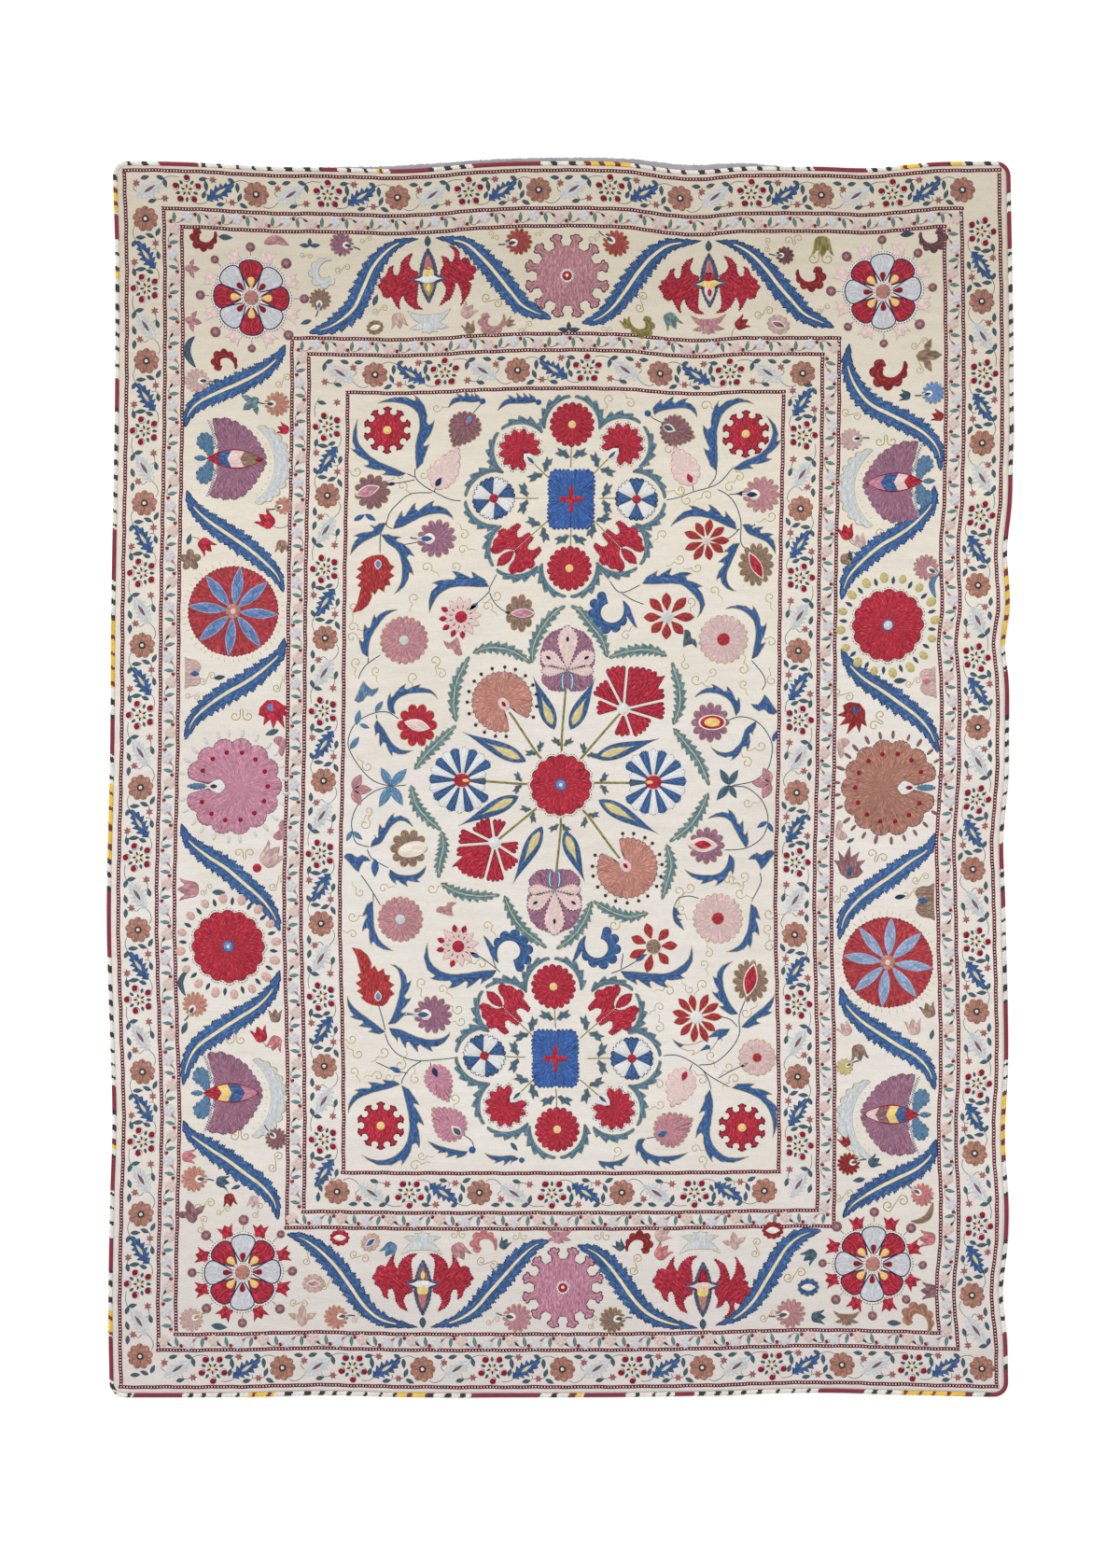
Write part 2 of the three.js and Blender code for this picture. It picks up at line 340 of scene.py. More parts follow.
def fillShape(work, spot, outline, tint, level=0, centre=None, rim=None, rimWidth=0.6, flow=None):
    if flow is not None:
        fillAny(work, spot, outline, tint, level, rim, rimWidth, flow)
        return
    outline = np.asarray(outline, float)
    centre = outline.mean(axis=0) if centre is None else np.asarray(centre, float)
    spokes = outline - centre
    radius = np.linalg.norm(spokes, axis=1)
    edge = min(0.5, rimWidth / max(radius.mean(), 0.1))
    height = relief["fill"] if level == 0 else relief["top"]
    shares = np.array([1.0, 1 - edge * 0.5, 1 - edge, (1 - edge) * 0.55, 0.0])
    rises = baseOf(level) + np.array([relief["rim"], height * 0.75, height, height, height * 1.05])
    if radius.mean() < relief["plainBelow"]:  # fewer rings
        shares, rises = shares[::2], rises[::2]
    local = centre + spokes[None] * shares[:, None, None]
    ringed = np.concatenate([outline, outline[:1]])
    # stitches run out from the centre
    turnWise = np.broadcast_to(along(ringed), (len(shares), len(ringed)))
    outWise = shares[:, None] * np.concatenate([radius, radius[:1]])[None]
    grain = np.stack([turnWise, outWise], axis=-1) * chart["stitchMm"]
    tints = np.broadcast_to(np.asarray(tint, float), (len(shares) - 1, len(outline), 3)).copy()
    if rim is not None:
        tints[:len(shares) // 2] = rim
    addPatch(work, spot, local, rises[:, None], tints, grain, wrap=True, pole=True)


def ribbon(work, spot, line, width, tint, level=0, edge=None, height=None, blunt=True, edgeWidth=0.9):
    line = np.asarray(line, float)
    heading = np.gradient(line, axis=0)
    heading /= np.maximum(np.linalg.norm(heading, axis=1, keepdims=True), 1e-9)
    normal = np.stack([-heading[:, 1], heading[:, 0]], axis=1)
    width = np.asarray(width, float)
    if width.ndim < 2:
        width = np.stack([np.broadcast_to(width, len(line))] * 2, axis=1)
    right, left = width.T
    if edge is None and width.max() < relief["slimBelow"]:
        reach = np.stack([-right, 0 * right, left])
        profile = np.array([0.0, 1.0, 0.0])
    elif edge is None:
        reach = np.stack([-right, -0.72 * right, 0 * right, 0.72 * left, left])
        profile = np.array([0.0, 0.88, 1.0, 0.88, 0.0])
    else:
        inset = np.minimum(edgeWidth, 0.55 * width).T
        reach = np.stack([-right, 0.4 * inset[0] - right, inset[0] - right, 0 * right, left - inset[1],
                          left - 0.4 * inset[1], left])
        profile = np.array([0.0, 0.75, 0.9, 1.0, 0.9, 0.75, 0.0])
    local = line[None] + reach[..., None] * normal[None]
    height = (relief["fill"] if level == 0 else relief["top"]) if height is None else height
    profile = height * profile
    profile[[0, -1]] = relief["rim"]
    rises = baseOf(level) + np.broadcast_to(profile[:, None], reach.shape).copy()
    if blunt:
        rises[:, [0, -1]] = baseOf(level) + relief["rim"]
    grain = np.stack([reach, np.broadcast_to(along(line), reach.shape)], axis=-1)
    tints = np.broadcast_to(np.asarray(tint, float), (len(reach) - 1, len(line) - 1, 3)).copy()
    if edge is not None:
        tints[[0, 1, -2, -1]] = edge
    addPatch(work, spot, local, rises, tints, grain * chart["stitchMm"])


def polar(reach, angle):
    return np.stack([reach * np.cos(angle), reach * np.sin(angle)], axis=1)


def lobed(lobes, radius, depth, steps=8, sharp=0.7, turn=0.0, squash=1.0):  # outline with rounded lobes
    angle = np.arange(lobes * steps) / (lobes * steps) * 2 * math.pi
    swell = np.abs(np.cos(lobes * angle / 2)) ** sharp
    reach = radius * (1 - depth + depth * swell)
    start = math.radians(turn)
    return np.stack([reach * np.cos(angle + start), squash * reach * np.sin(angle + start)], axis=1)


def leafOutline(length, width, steps=7):  # pointed leaf from (0, 0) along +x
    share = np.linspace(0, 1, steps)
    half = width / 2 * np.sin(math.pi * share ** 0.85) ** 0.9
    upper = np.stack([share * length, half], axis=1)
    lower = np.stack([share * length, -half], axis=1)
    return np.concatenate([upper, lower[-2:0:-1]])


def starOutline(points, radius, inner):
    angle = np.arange(points * 4) / (points * 4) * 2 * math.pi
    reach = np.tile([radius, (radius + inner) * 0.46, inner, (radius + inner) * 0.46], points)
    return polar(reach, angle)


def smallLeaf(work, spot, x, y, turn, length, width, tint, level=0):
    leaf = shifted(spot, x, y, turn)
    fillShape(work, leaf, leafOutline(length, width), thread[tint] * 1.2, level=level, flow=0, rimWidth=0.6,
              rim=thread[tint] * 0.72)


def disc(work, spot, x, y, radius, tint, level=0, steps=14, rim=None):
    fillShape(work, shifted(spot, x, y), lobed(1, radius, 0.0, steps), thread[tint], level=level,
              rimWidth=min(0.6, radius * 0.35), rim=None if rim is None else thread[rim])


def stem(work, spot, points, tint, width, steps=5, level=0):
    ribbon(work, spot, smoothLine(points, steps), width, thread[tint], level=level, height=0.6)


def newMaterial(name):
    material = bpy.data.materials.new(name)
    material.use_nodes = True
    tree = material.node_tree
    return material, tree, tree.nodes["Principled BSDF"]


def addNode(tree, kind, **settings):
    node = tree.nodes.new("ShaderNode" + kind)
    for name, value in settings.items():
        setattr(node, name, value)
    return node


def noiseOn(tree, source, scale, stretch=(1, 1, 1), detail=2.0, turn=0.0):
    mapping = addNode(tree, "Mapping")
    mapping.inputs["Scale"].default_value = stretch
    mapping.inputs["Rotation"].default_value = (0, 0, turn)
    tree.links.new(source, mapping.inputs["Vector"])
    noise = addNode(tree, "TexNoise")
    noise.inputs["Scale"].default_value = scale
    noise.inputs["Detail"].default_value = detail
    tree.links.new(mapping.outputs["Vector"], noise.inputs["Vector"])
    return noise.outputs["Fac"]


def ranged(tree, value, low, high, fromLow=0.3, fromHigh=0.7):
    spread = addNode(tree, "MapRange")
    spread.inputs["From Min"].default_value = fromLow
    spread.inputs["From Max"].default_value = fromHigh
    spread.inputs["To Min"].default_value = low
    spread.inputs["To Max"].default_value = high
    tree.links.new(value, spread.inputs["Value"])
    return spread.outputs["Result"]


def counted(tree, operation, first, second):  # arithmetic on two sockets or numbers
    node = addNode(tree, "Math", operation=operation)
    for socket, value in zip(node.inputs, (first, second)):
        if isinstance(value, (int, float)):
            socket.default_value = value
        else:
            tree.links.new(value, socket)
    return node.outputs["Value"]


def tinted(tree, colour, factor):  # colour made lighter or darker by a number
    scale = addNode(tree, "VectorMath", operation="SCALE")
    tree.links.new(colour, scale.inputs[0])
    tree.links.new(factor, scale.inputs["Scale"])
    return scale.outputs["Vector"]


def blended(tree, share, first, second):
    mix = addNode(tree, "Mix", data_type="RGBA")
    for socket, value in ((mix.inputs[0], share), (mix.inputs[6], first), (mix.inputs[7], second)):
        if isinstance(value, (int, float)):
            socket.default_value = value
        elif isinstance(value, (tuple, np.ndarray)):
            socket.default_value = (*value, 1.0)
        else:
            tree.links.new(value, socket)
    return mix.outputs[2]


def bumped(tree, surface, height, strength, distance):
    bump = addNode(tree, "Bump")
    bump.inputs["Strength"].default_value = strength
    bump.inputs["Distance"].default_value = distance
    tree.links.new(height, bump.inputs["Height"])
    tree.links.new(bump.outputs["Normal"], surface.inputs["Normal"])


silkLook = {"rowMm": 2.9, "linkMm": 7.0, "flecks": (0.52, 1.46), "streaks": (0.72, 1.3), "roughness": 0.62,
            "sheen": 0.06, "fleckMm": 9.0, "streakMm": (6.5, 34.0), "specular": 0.12}


def silkMaterial():  # chain stitch: rows of links along the stitches, each fleck of dye a little different
    material, tree, surface = newMaterial("silkEmbroidery")
    colour = addNode(tree, "Attribute", attribute_name="thread").outputs["Color"]
    stitch = addNode(tree, "UVMap", uv_map="stitch").outputs["UV"]
    place = addNode(tree, "TexCoord").outputs["Object"]
    flecks = noiseOn(tree, stitch, 1.0, (1 / silkLook["rowMm"], 1 / silkLook["fleckMm"], 1), 2.5)
    streakWide, streakLong = silkLook["streakMm"]
    streaks = noiseOn(tree, stitch, 1.0, (1 / streakWide, 1 / streakLong, 1), 2.0)
    fade = noiseOn(tree, place, 7.0, detail=3.0)
    cells = addNode(tree, "Mapping")
    cells.inputs["Scale"].default_value = (1 / silkLook["rowMm"], 1 / silkLook["linkMm"], 1)
    tree.links.new(stitch, cells.inputs["Vector"])
    links = addNode(tree, "TexVoronoi")
    links.inputs["Scale"].default_value = 1.0
    tree.links.new(cells.outputs["Vector"], links.inputs["Vector"])
    # painted shade in the gaps between chain links, with a little painted light on the middle of each link
    dark = ranged(tree, links.outputs["Distance"], 1.08, 0.74, 0.1, 0.8)
    shade = counted(tree, "MULTIPLY", ranged(tree, flecks, *silkLook["flecks"]), dark)
    shade = counted(tree, "MULTIPLY", shade, ranged(tree, streaks, *silkLook["streaks"]))
    shade = counted(tree, "MULTIPLY", shade, ranged(tree, fade, 0.92, 1.08))
    split = addNode(tree, "SeparateXYZ")  # painted shade: the silk is darker towards the top and bottom ends of the cloth
    tree.links.new(place, split.inputs["Vector"])
    shade = counted(tree, "MULTIPLY", shade, ranged(tree, split.outputs["Y"], 1.0, 0.8, 0.6, 1.1))
    shade = counted(tree, "MULTIPLY", shade, ranged(tree, split.outputs["Y"], 0.88, 1.0, -1.15, -0.7))
    grey = addNode(tree, "RGBToBW")
    tree.links.new(colour, grey.inputs["Color"])
    calm = ranged(tree, grey.outputs["Val"], 0.0, 0.62, 0.2, 0.65)  # pale silk shows its stitches least
    rest = counted(tree, "SUBTRACT", 0.97, shade)
    shade = counted(tree, "ADD", shade, counted(tree, "MULTIPLY", calm, rest))
    worn = blended(tree, ranged(tree, flecks, 0.0, 0.07, 0.5, 0.75), colour, tuple(linear((214, 200, 186))))
    tree.links.new(tinted(tree, worn, shade), surface.inputs["Base Color"])
    surface.inputs["Roughness"].default_value = silkLook["roughness"]
    surface.inputs["Specular IOR Level"].default_value = silkLook["specular"]
    surface.inputs["Sheen Weight"].default_value = silkLook["sheen"]
    surface.inputs["Sheen Roughness"].default_value = 0.4
    height = counted(tree, "SUBTRACT", counted(tree, "MULTIPLY", flecks, 0.6), links.outputs["Distance"])
    bumped(tree, surface, height, 0.6, 0.0007)
    return material


groundLook = {
    "cream": tuple(linear((227, 222, 215))),
    "warm": tuple(linear((225, 217, 202))),
    "shade": tuple(linear((221, 214, 204))),
    "upper": tuple(linear((204, 194, 176))),
    "lower": tuple(linear((210, 203, 198))),
    "roughness": 0.9,
}


def cottonMaterial():  # hand-woven cotton: slubs both ways, old creases and a little mottling
    material, tree, surface = newMaterial("groundCotton")
    place = addNode(tree, "TexCoord").outputs["Object"]
    mottle = noiseOn(tree, place, 3.2, detail=6.0)
    wefts = noiseOn(tree, place, 1.0, (55, 620, 1), 3.0)
    warps = noiseOn(tree, place, 1.0, (640, 60, 1), 3.0)
    creases = noiseOn(tree, place, 1.0, (9, 42, 1), 4.0, 0.06)
    split = addNode(tree, "SeparateXYZ")
    tree.links.new(place, split.inputs["Vector"])
    plain = blended(tree, ranged(tree, mottle, 0.0, 1.0, 0.35, 0.7), groundLook["cream"],
                    groundLook["shade"])
    cloth = blended(tree, ranged(tree, split.outputs["Y"], 0.0, 0.9, 0.05, 0.55), plain, groundLook["warm"])
    # painted shade: the ground is darker towards the top and bottom ends of the cloth
    cloth = blended(tree, ranged(tree, split.outputs["Y"], 0.0, 0.9, 0.6, 1.1), cloth, groundLook["upper"])
    cloth = blended(tree, ranged(tree, split.outputs["Y"], 0.9, 0.0, -1.15, -0.7), cloth,
                    groundLook["lower"])
    shade = counted(tree, "MULTIPLY", ranged(tree, wefts, 0.95, 1.05), ranged(tree, warps, 0.96, 1.04))
    # painted shade: the crease noise also darkens and lightens the cloth's colour along the creases
    shade = counted(tree, "MULTIPLY", shade, ranged(tree, creases, 0.96, 1.04))
    tree.links.new(tinted(tree, cloth, shade), surface.inputs["Base Color"])
    surface.inputs["Roughness"].default_value = groundLook["roughness"]
    surface.inputs["Specular IOR Level"].default_value = 0.1
    height = counted(tree, "ADD", counted(tree, "ADD", wefts, warps),
                     counted(tree, "MULTIPLY", creases, 5.0))
    bumped(tree, surface, height, 0.5, 0.0012)
    return material


def braidMaterial():
    material, tree, surface = newMaterial("edgingBraid")
    colour = addNode(tree, "Attribute", attribute_name="thread").outputs["Color"]
    place = addNode(tree, "TexCoord").outputs["Object"]
    twist = noiseOn(tree, place, 1.0, (420, 420, 80), 2.0)
    wear = noiseOn(tree, place, 40.0, detail=3.0)
    shade = counted(tree, "MULTIPLY", ranged(tree, twist, 0.78, 1.18), ranged(tree, wear, 0.88, 1.1))
    tree.links.new(tinted(tree, colour, shade), surface.inputs["Base Color"])
    surface.inputs["Roughness"].default_value = 0.75
    surface.inputs["Sheen Weight"].default_value = 0.15
    bumped(tree, surface, twist, 0.5, 0.0006)
    return material


def tapeMaterial():
    material, tree, surface = newMaterial("headingTape")
    place = addNode(tree, "TexCoord").outputs["Object"]
    threads = noiseOn(tree, place, 1.0, (70, 900, 1), 3.0)
    dust = noiseOn(tree, place, 18.0, detail=4.0)
    grey = blended(tree, ranged(tree, dust, 0.0, 1.0), tuple(linear((150, 147, 153))),
                   tuple(linear((168, 165, 168))))
    tree.links.new(tinted(tree, grey, ranged(tree, threads, 0.84, 1.14)), surface.inputs["Base Color"])
    surface.inputs["Roughness"].default_value = 0.95
    bumped(tree, surface, threads, 0.5, 0.0005)
    return material


def floorMaterial():
    material, _, surface = newMaterial("paleFloor")
    surface.inputs["Base Color"].default_value = (0.9, 0.9, 0.9, 1)
    surface.inputs["Roughness"].default_value = 0.9
    surface.inputs["Specular IOR Level"].default_value = 0.0
    surface.inputs["Emission Color"].default_value = (1, 1, 1, 1)
    surface.inputs["Emission Strength"].default_value = 0.3
    return material


silk = silkMaterial()
cotton = cottonMaterial()
print("suzani: materials ready")


def mapFlat(mesh):  # a square map of the piece seen from above
    places = np.empty(len(mesh.vertices) * 3)
    mesh.vertices.foreach_get("co", places)
    seen = places.reshape(-1, 3)[:, :2]
    seen = (seen - seen.min(axis=0)) / (seen.max(axis=0) - seen.min(axis=0))
    corners = np.empty(len(mesh.loops), dtype=np.int32)
    mesh.loops.foreach_get("vertex_index", corners)
    layer = mesh.uv_layers.get("OFBake") or mesh.uv_layers.new(name="OFBake")
    layer.data.foreach_set("uv", seen[corners].reshape(-1))


def mapBlocks(mesh, perRow):  # a small square of its own for each face
    face = np.arange(len(mesh.polygons))
    cell = np.stack([face % perRow, face // perRow], axis=1)
    square = np.array([(0.2, 0.2), (0.8, 0.2), (0.8, 0.8), (0.2, 0.8)])
    places = (cell[:, None] + square[None]) / perRow
    layer = mesh.uv_layers.new(name="OFBake")
    layer.data.foreach_set("uv", places.reshape(-1))


def keep(piece, node, slot, material):
    piece.data.materials.clear()
    piece.data.materials.append(material)
    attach(piece, "root")
    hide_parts(node)
    print("suzani:", piece.name, len(piece.data.polygons), "faces")


def sewn(name, work, blocks=0):  # the gathered stitching as one mesh lying on the cloth
    flat = np.concatenate(work["flat"])
    rise = np.concatenate(work["rise"])
    corners = np.concatenate(work["corners"])
    tints = np.concatenate(work["tints"])
    grain = np.concatenate(work["grain"])
    sides = np.concatenate(work["sides"])
    places = intoFrame(flat[:, 0], flat[:, 1], clothShape["thickness"] + rise)
    mesh = bpy.data.meshes.new(name)
    mesh.vertices.add(len(places))
    mesh.vertices.foreach_set("co", places.reshape(-1))
    mesh.loops.add(len(corners))
    mesh.loops.foreach_set("vertex_index", corners.astype(np.int32))
    mesh.polygons.add(len(sides))
    starts = np.concatenate([[0], np.cumsum(sides)[:-1]])
    mesh.polygons.foreach_set("loop_start", starts.astype(np.int32))
    mesh.polygons.foreach_set("use_smooth", np.ones(len(sides), dtype=bool))
    mesh.update(calc_edges=True)
    layer = mesh.uv_layers.new(name="stitch")
    layer.data.foreach_set("uv", grain.reshape(-1))
    colours = mesh.color_attributes.new("thread", "FLOAT_COLOR", "CORNER")
    colours.data.foreach_set("color", np.concatenate([tints, np.ones((len(tints), 1))], axis=1).reshape(-1))
    if blocks:
        mapBlocks(mesh, blocks)
    else:
        mapFlat(mesh)
    piece = bpy.data.objects.new(name, mesh)
    bpy.context.collection.objects.link(piece)
    keep(piece, "ground_cloth", "silk_embroidery", silk)
    return piece


def gridOf(name, columns, rows):  # a plain grid, with each point's place in its columns and rows
    bpy.ops.object.select_all(action="DESELECT")
    bpy.ops.mesh.primitive_grid_add(x_subdivisions=columns - 1, y_subdivisions=rows - 1, size=1)
    piece = bpy.context.object
    piece.name = piece.data.name = name
    places = np.empty(len(piece.data.vertices) * 3)
    piece.data.vertices.foreach_get("co", places)
    places = places.reshape(-1, 3)
    column = np.rint((places[:, 0] + 0.5) * (columns - 1)).astype(int)
    row = np.rint((places[:, 1] + 0.5) * (rows - 1)).astype(int)
    while piece.data.uv_layers:
        piece.data.uv_layers.remove(piece.data.uv_layers[0])
    return piece, column, row


def setPlaces(piece, places):
    piece.data.vertices.foreach_set("co", places.reshape(-1))
    piece.data.update()
    piece.data.polygons.foreach_set("use_smooth", np.ones(len(piece.data.polygons), dtype=bool))


def thicken(piece, millimetres):
    modifier = piece.modifiers.new("thickness", "SOLIDIFY")
    modifier.thickness = millimetres / 1000
    modifier.offset = -1
    bpy.ops.object.modifier_apply(modifier=modifier.name)


def edgedSteps(size, radius, pitch):  # places from end to end, closer together at the rounded corners
    ends = np.linspace(0, radius, 4, endpoint=False)
    middle = size - 2 * radius
    steps = int(round(middle / pitch))
    inner = radius + np.linspace(0, middle, steps + 1)
    return np.concatenate([ends, inner, size - ends[::-1]]) - size / 2


def roundCorners(across, up):
    radius = clothShape["cornerRadius"]
    straightX = clothShape["width"] / 2 - radius
    straightY = clothShape["height"] / 2 - radius
    overX = np.clip((np.abs(across) - straightX) / radius, 0, 1)
    overY = np.clip((np.abs(up) - straightY) / radius, 0, 1)
    roundedX = straightX + radius * overX * np.sqrt(1 - overY ** 2 / 2)
    roundedY = straightY + radius * overY * np.sqrt(1 - overX ** 2 / 2)
    corner = (overX > 0) & (overY > 0)
    return (np.where(corner, np.sign(across) * roundedX, across),
            np.where(corner, np.sign(up) * roundedY, up))


def groundCloth():
    columns = edgedSteps(clothShape["width"], clothShape["cornerRadius"], clothShape["gridPitch"])
    rows = edgedSteps(clothShape["height"], clothShape["cornerRadius"], clothShape["gridPitch"])
    piece, column, row = gridOf("groundCloth", len(columns), len(rows))
    across, up = roundCorners(columns[column], rows[row])
    setPlaces(piece, intoFrame(across, up, clothShape["thickness"]))
    mapFlat(piece.data)
    thicken(piece, clothShape["thickness"])
    keep(piece, "ground_cloth", "ground_cotton", cotton)
    return piece


# Lengths of the braid in chart stitches from one end of a side: c is crimson, y is yellow barred with
# crimson, and the rest is white barred with black
braid = {
    "width": 9.0,
    "height": 3.0,
    "gap": 0.3,
    "stepMm": 3.0,
    "barMm": 13.0,
    "pitchMm": 34.0,
    "slant": 0.55,
    "mapRow": 90,
    "top": "c172-214 c347-363 y405-412 c419-461 c508-581 y626-677 c873-930 y966-986 c995-1017 y1019-1033"
           " c1071-1090",
    "left": "y201-229 c231-257 y291-300 c407-438 c568-624 y664-739 c772-810 y841-923 c956-1027 c1164-1190"
            " y1222-1232 c1242-1277 c1329-1362 y1405-1431 c1433-1480",
    "bottom": "c144-197 y267-296 y426-460 c506-579 y610-625 c627-672 c724-745 c878-927 y966-1042"
              " c1062-1090",
    "right": "c165-206 c228-268 c512-576 y609-693 c720-767 c905-933 c956-974 c1076-1137 y1171-1244"
             " c1282-1329 c1428-1454 c1468-1500",
}
braidTints = {"crimson": linear((128, 30, 52)), "white": linear((222, 218, 210)),
              "black": linear((42, 32, 36)), "yellow": linear((228, 186, 62)),
              "wine": linear((112, 34, 44))}


def braidColours(side, counted):  # colour at each chart count along a side
    mm = counted * chart["stitchMm"]
    wobble = 5.0 * np.sin(mm / 61.0) + 4.0 * np.sin(mm / 23.0 + 1.0)
    barred = np.mod(mm + wobble, braid["pitchMm"]) < braid["barMm"] * (0.8 + 0.3 * np.sin(mm / 47.0))
    tints = np.where(barred[..., None], braidTints["black"], braidTints["white"])
    for length in braid[side].split():
        start, end = (float(count) for count in length[1:].split("-"))
        inside = (counted >= start) & (counted <= end)
        if length[0] == "c":
            tints[inside] = braidTints["crimson"]
        else:
            tints[inside] = np.where(barred[inside][..., None], braidTints["wine"], braidTints["yellow"])
    return tints


def braidPath(side):  # flat corner-to-corner path of the cloth's edge, and its outward normals
    outline = clothOutline(arcSteps=6)
    corner = {"top": 0, "left": 1, "bottom": 2, "right": 3}[side]
    first = corner * 7 + 3
    points = np.array([outline[(first + k) % 28] for k in range(8)])
    wider = clothOutline(offset=1.0, arcSteps=6)
    normals = np.array([wider[(first + k) % 28] for k in range(8)]) - points
    distance = along(points)
    count = int(distance[-1] / braid["stepMm"])
    steps = np.linspace(0.1, distance[-1] - 0.1, count)
    path = np.stack([np.interp(steps, distance, points[:, k]) for k in range(2)], axis=1)
    outward = np.stack([np.interp(steps, distance, normals[:, k]) for k in range(2)], axis=1)
    return path, outward / np.linalg.norm(outward, axis=1, keepdims=True)


def braidLength(side, material):
    path, outward = braidPath(side)
    inner, outer = braid["gap"], braid["gap"] + braid["width"]
    tall = braid["height"]
    section = np.array([(inner, 0.0), (inner, tall * 0.62), (inner + 1.8, tall * 0.93), (inner + 4.5, tall),
                        (outer - 1.8, tall * 0.9), (outer, tall * 0.5), (outer, 0.0), (inner, 0.0)])
    piece, column, row = gridOf("braid" + side.capitalize(), len(path), len(section))
    flat = path[column] + outward[column] * section[row, :1]
    setPlaces(piece, intoFrame(flat[:, 0], flat[:, 1], section[row, 1]))
    centres = np.empty(len(piece.data.polygons) * 3)
    piece.data.polygons.foreach_get("center", centres)
    centres = centres.reshape(-1, 3) * 1000 - np.array([*frameShift, 0])
    acrossCount = chart["middleAcross"] + centres[:, 0] / chart["stitchMm"]
    downCount = chart["middleDown"] - centres[:, 1] / chart["stitchMm"]
    level = side in ("top", "bottom")
    counts = acrossCount if level else downCount
    slanted = counts + braid["slant"] * np.mod(np.arange(len(counts)) // (len(path) - 1), 7)
    tints = braidColours(side, slanted)
    if np.dot(piece.data.polygons[len(path) * 3].normal, (0, 0, 1)) < 0:
        bpy.ops.object.mode_set(mode="EDIT")
        bpy.ops.mesh.select_all(action="SELECT")
        bpy.ops.mesh.flip_normals()
        bpy.ops.object.mode_set(mode="OBJECT")
    colours = piece.data.color_attributes.new("thread", "FLOAT_COLOR", "CORNER")
    spread = np.repeat(np.concatenate([tints, np.ones((len(tints), 1))], axis=1), 4, axis=0)
    colours.data.foreach_set("color", spread.reshape(-1))
    mapBlocks(piece.data, braid["mapRow"])
    bpy.ops.object.mode_set(mode="EDIT")
    bpy.ops.mesh.select_all(action="SELECT")
    bpy.ops.mesh.remove_doubles(threshold=0.00001)
    bpy.ops.object.mode_set(mode="OBJECT")
    keep(piece, "braid_" + side, "edging_braid", material)
    return piece


tape = {
    "thickness": 1.5,
    "hidden": 50.0,
    "stepMm": 4.0,
    "rises": [  # across, rise over the braid's outer edge
        (-840, -6), (-520, 0), (-400, 6), (-320, 10), (-100, 8), (80, 9), (190, 12), (290, 13), (400, 9),
        (500, 0), (560, -6),
    ],
    "frayMm": 1.3,
}


def headingTape():
    rng = np.random.default_rng(11)
    places = np.array(tape["rises"], float)
    count = int((places[-1, 0] - places[0, 0]) / tape["stepMm"]) + 1
    columns = np.linspace(places[0, 0], places[-1, 0], count)
    rises = np.interp(columns, places[:, 0], places[:, 1]) + rng.uniform(-1, 0.6, count) * tape["frayMm"]
    shares = np.array([0.0, 0.35, 0.7, 0.9, 0.97, 1.0])
    piece, column, row = gridOf("headingTape", count, len(shares))
    top = np.full(count, clothShape["height"] / 2 + braid["gap"] + braid["width"])
    slideX, slideY = slideOf(columns, top)
    upper = top + slideY + rises
    lower = top + slideY - tape["hidden"]
    y = lower[column] + (upper - lower)[column] * shares[row]
    thick = tape["thickness"] * np.where(shares[row] > 0.99, 0.7, 1.0)
    setPlaces(piece, np.stack([(columns + slideX)[column] + frameShift[0], y + frameShift[1], thick],
                              axis=1) / 1000)
    mapFlat(piece.data)
    thicken(piece, tape["thickness"])
    under = np.empty(len(piece.data.vertices) * 3)
    piece.data.vertices.foreach_get("co", under)
    under = under.reshape(-1, 3)
    under[:, 2] = np.maximum(under[:, 2], 0)
    setPlaces(piece, under)
    keep(piece, "heading_tape", "heading_tape", tapeMaterial())
    return piece


cloth = groundCloth()
edging = braidMaterial()
braids = [braidLength(side, edging) for side in ("top", "left", "bottom", "right")]
heading = headingTape()


# Narrow crimson lines with a row of white dots, each a rectangle round the middle of the cloth
dottedLines = {
    "halfWidth": 2.55,
    "dotHalf": 0.7,
    "cell": 1.62,
    "lines": [  # half width and half height in stitches, then how far its middle is right and down
        (469.0, 651.75, 0.0, -0.75),
        (428.0, 611.75, 0.0, -0.25),
        (409.0, 593.75, 0.0, 0.75),
        (293.0, 479.5, 1.5, 2.0),
        (275.0, 462.25, 1.5, 2.25),
        (233.3, 420.5, 1.5, 1.5),
    ],
}


def dottedLine(work, rng, halfWidth, halfHeight, right, down):
    across, up = right * chart["stitchMm"], -down * chart["stitchMm"]
    edge = dottedLines["halfWidth"]
    dot = dottedLines["dotHalf"]
    for quarter in range(4):
        level = quarter % 2 == 0
        reach = halfWidth + edge if level else halfHeight - edge
        offset = halfHeight if level else halfWidth
        cells = int(round(2 * reach / dottedLines["cell"])) // 2 * 2
        run = np.linspace(-reach, reach, cells + 1)
        run[1::2] -= dottedLines["cell"] * 0.22
        wander = 0.22 * np.sin(run / 9.0 + quarter) + 0.16 * np.sin(run / 3.7 + 2 * quarter)
        lanes = np.array([-edge, -dot, dot, edge])
        local = np.stack([np.broadcast_to(run, (4, cells + 1)),
                          lanes[:, None] + wander + np.zeros((4, cells + 1)) + offset], axis=-1)
        tints = np.empty((3, cells, 3))
        tints[:] = thread["deepRed"] * 0.4 + thread["wine"] * 0.6
        light = np.arange(cells) % 2 == 0
        tints[1, light] = thread["white"]
        tints[1, ~light] = thread["wine"] * 0.3
        tints *= rng.uniform(0.82, 1.12, (3, cells, 1))
        rises = np.array([relief["rim"], 0.8, 0.8, relief["rim"]])[:, None]
        spot = spotFlat(across, up, quarter * math.pi / 2)
        addPatch(work, spot, local, rises, tints, local * chart["stitchMm"])


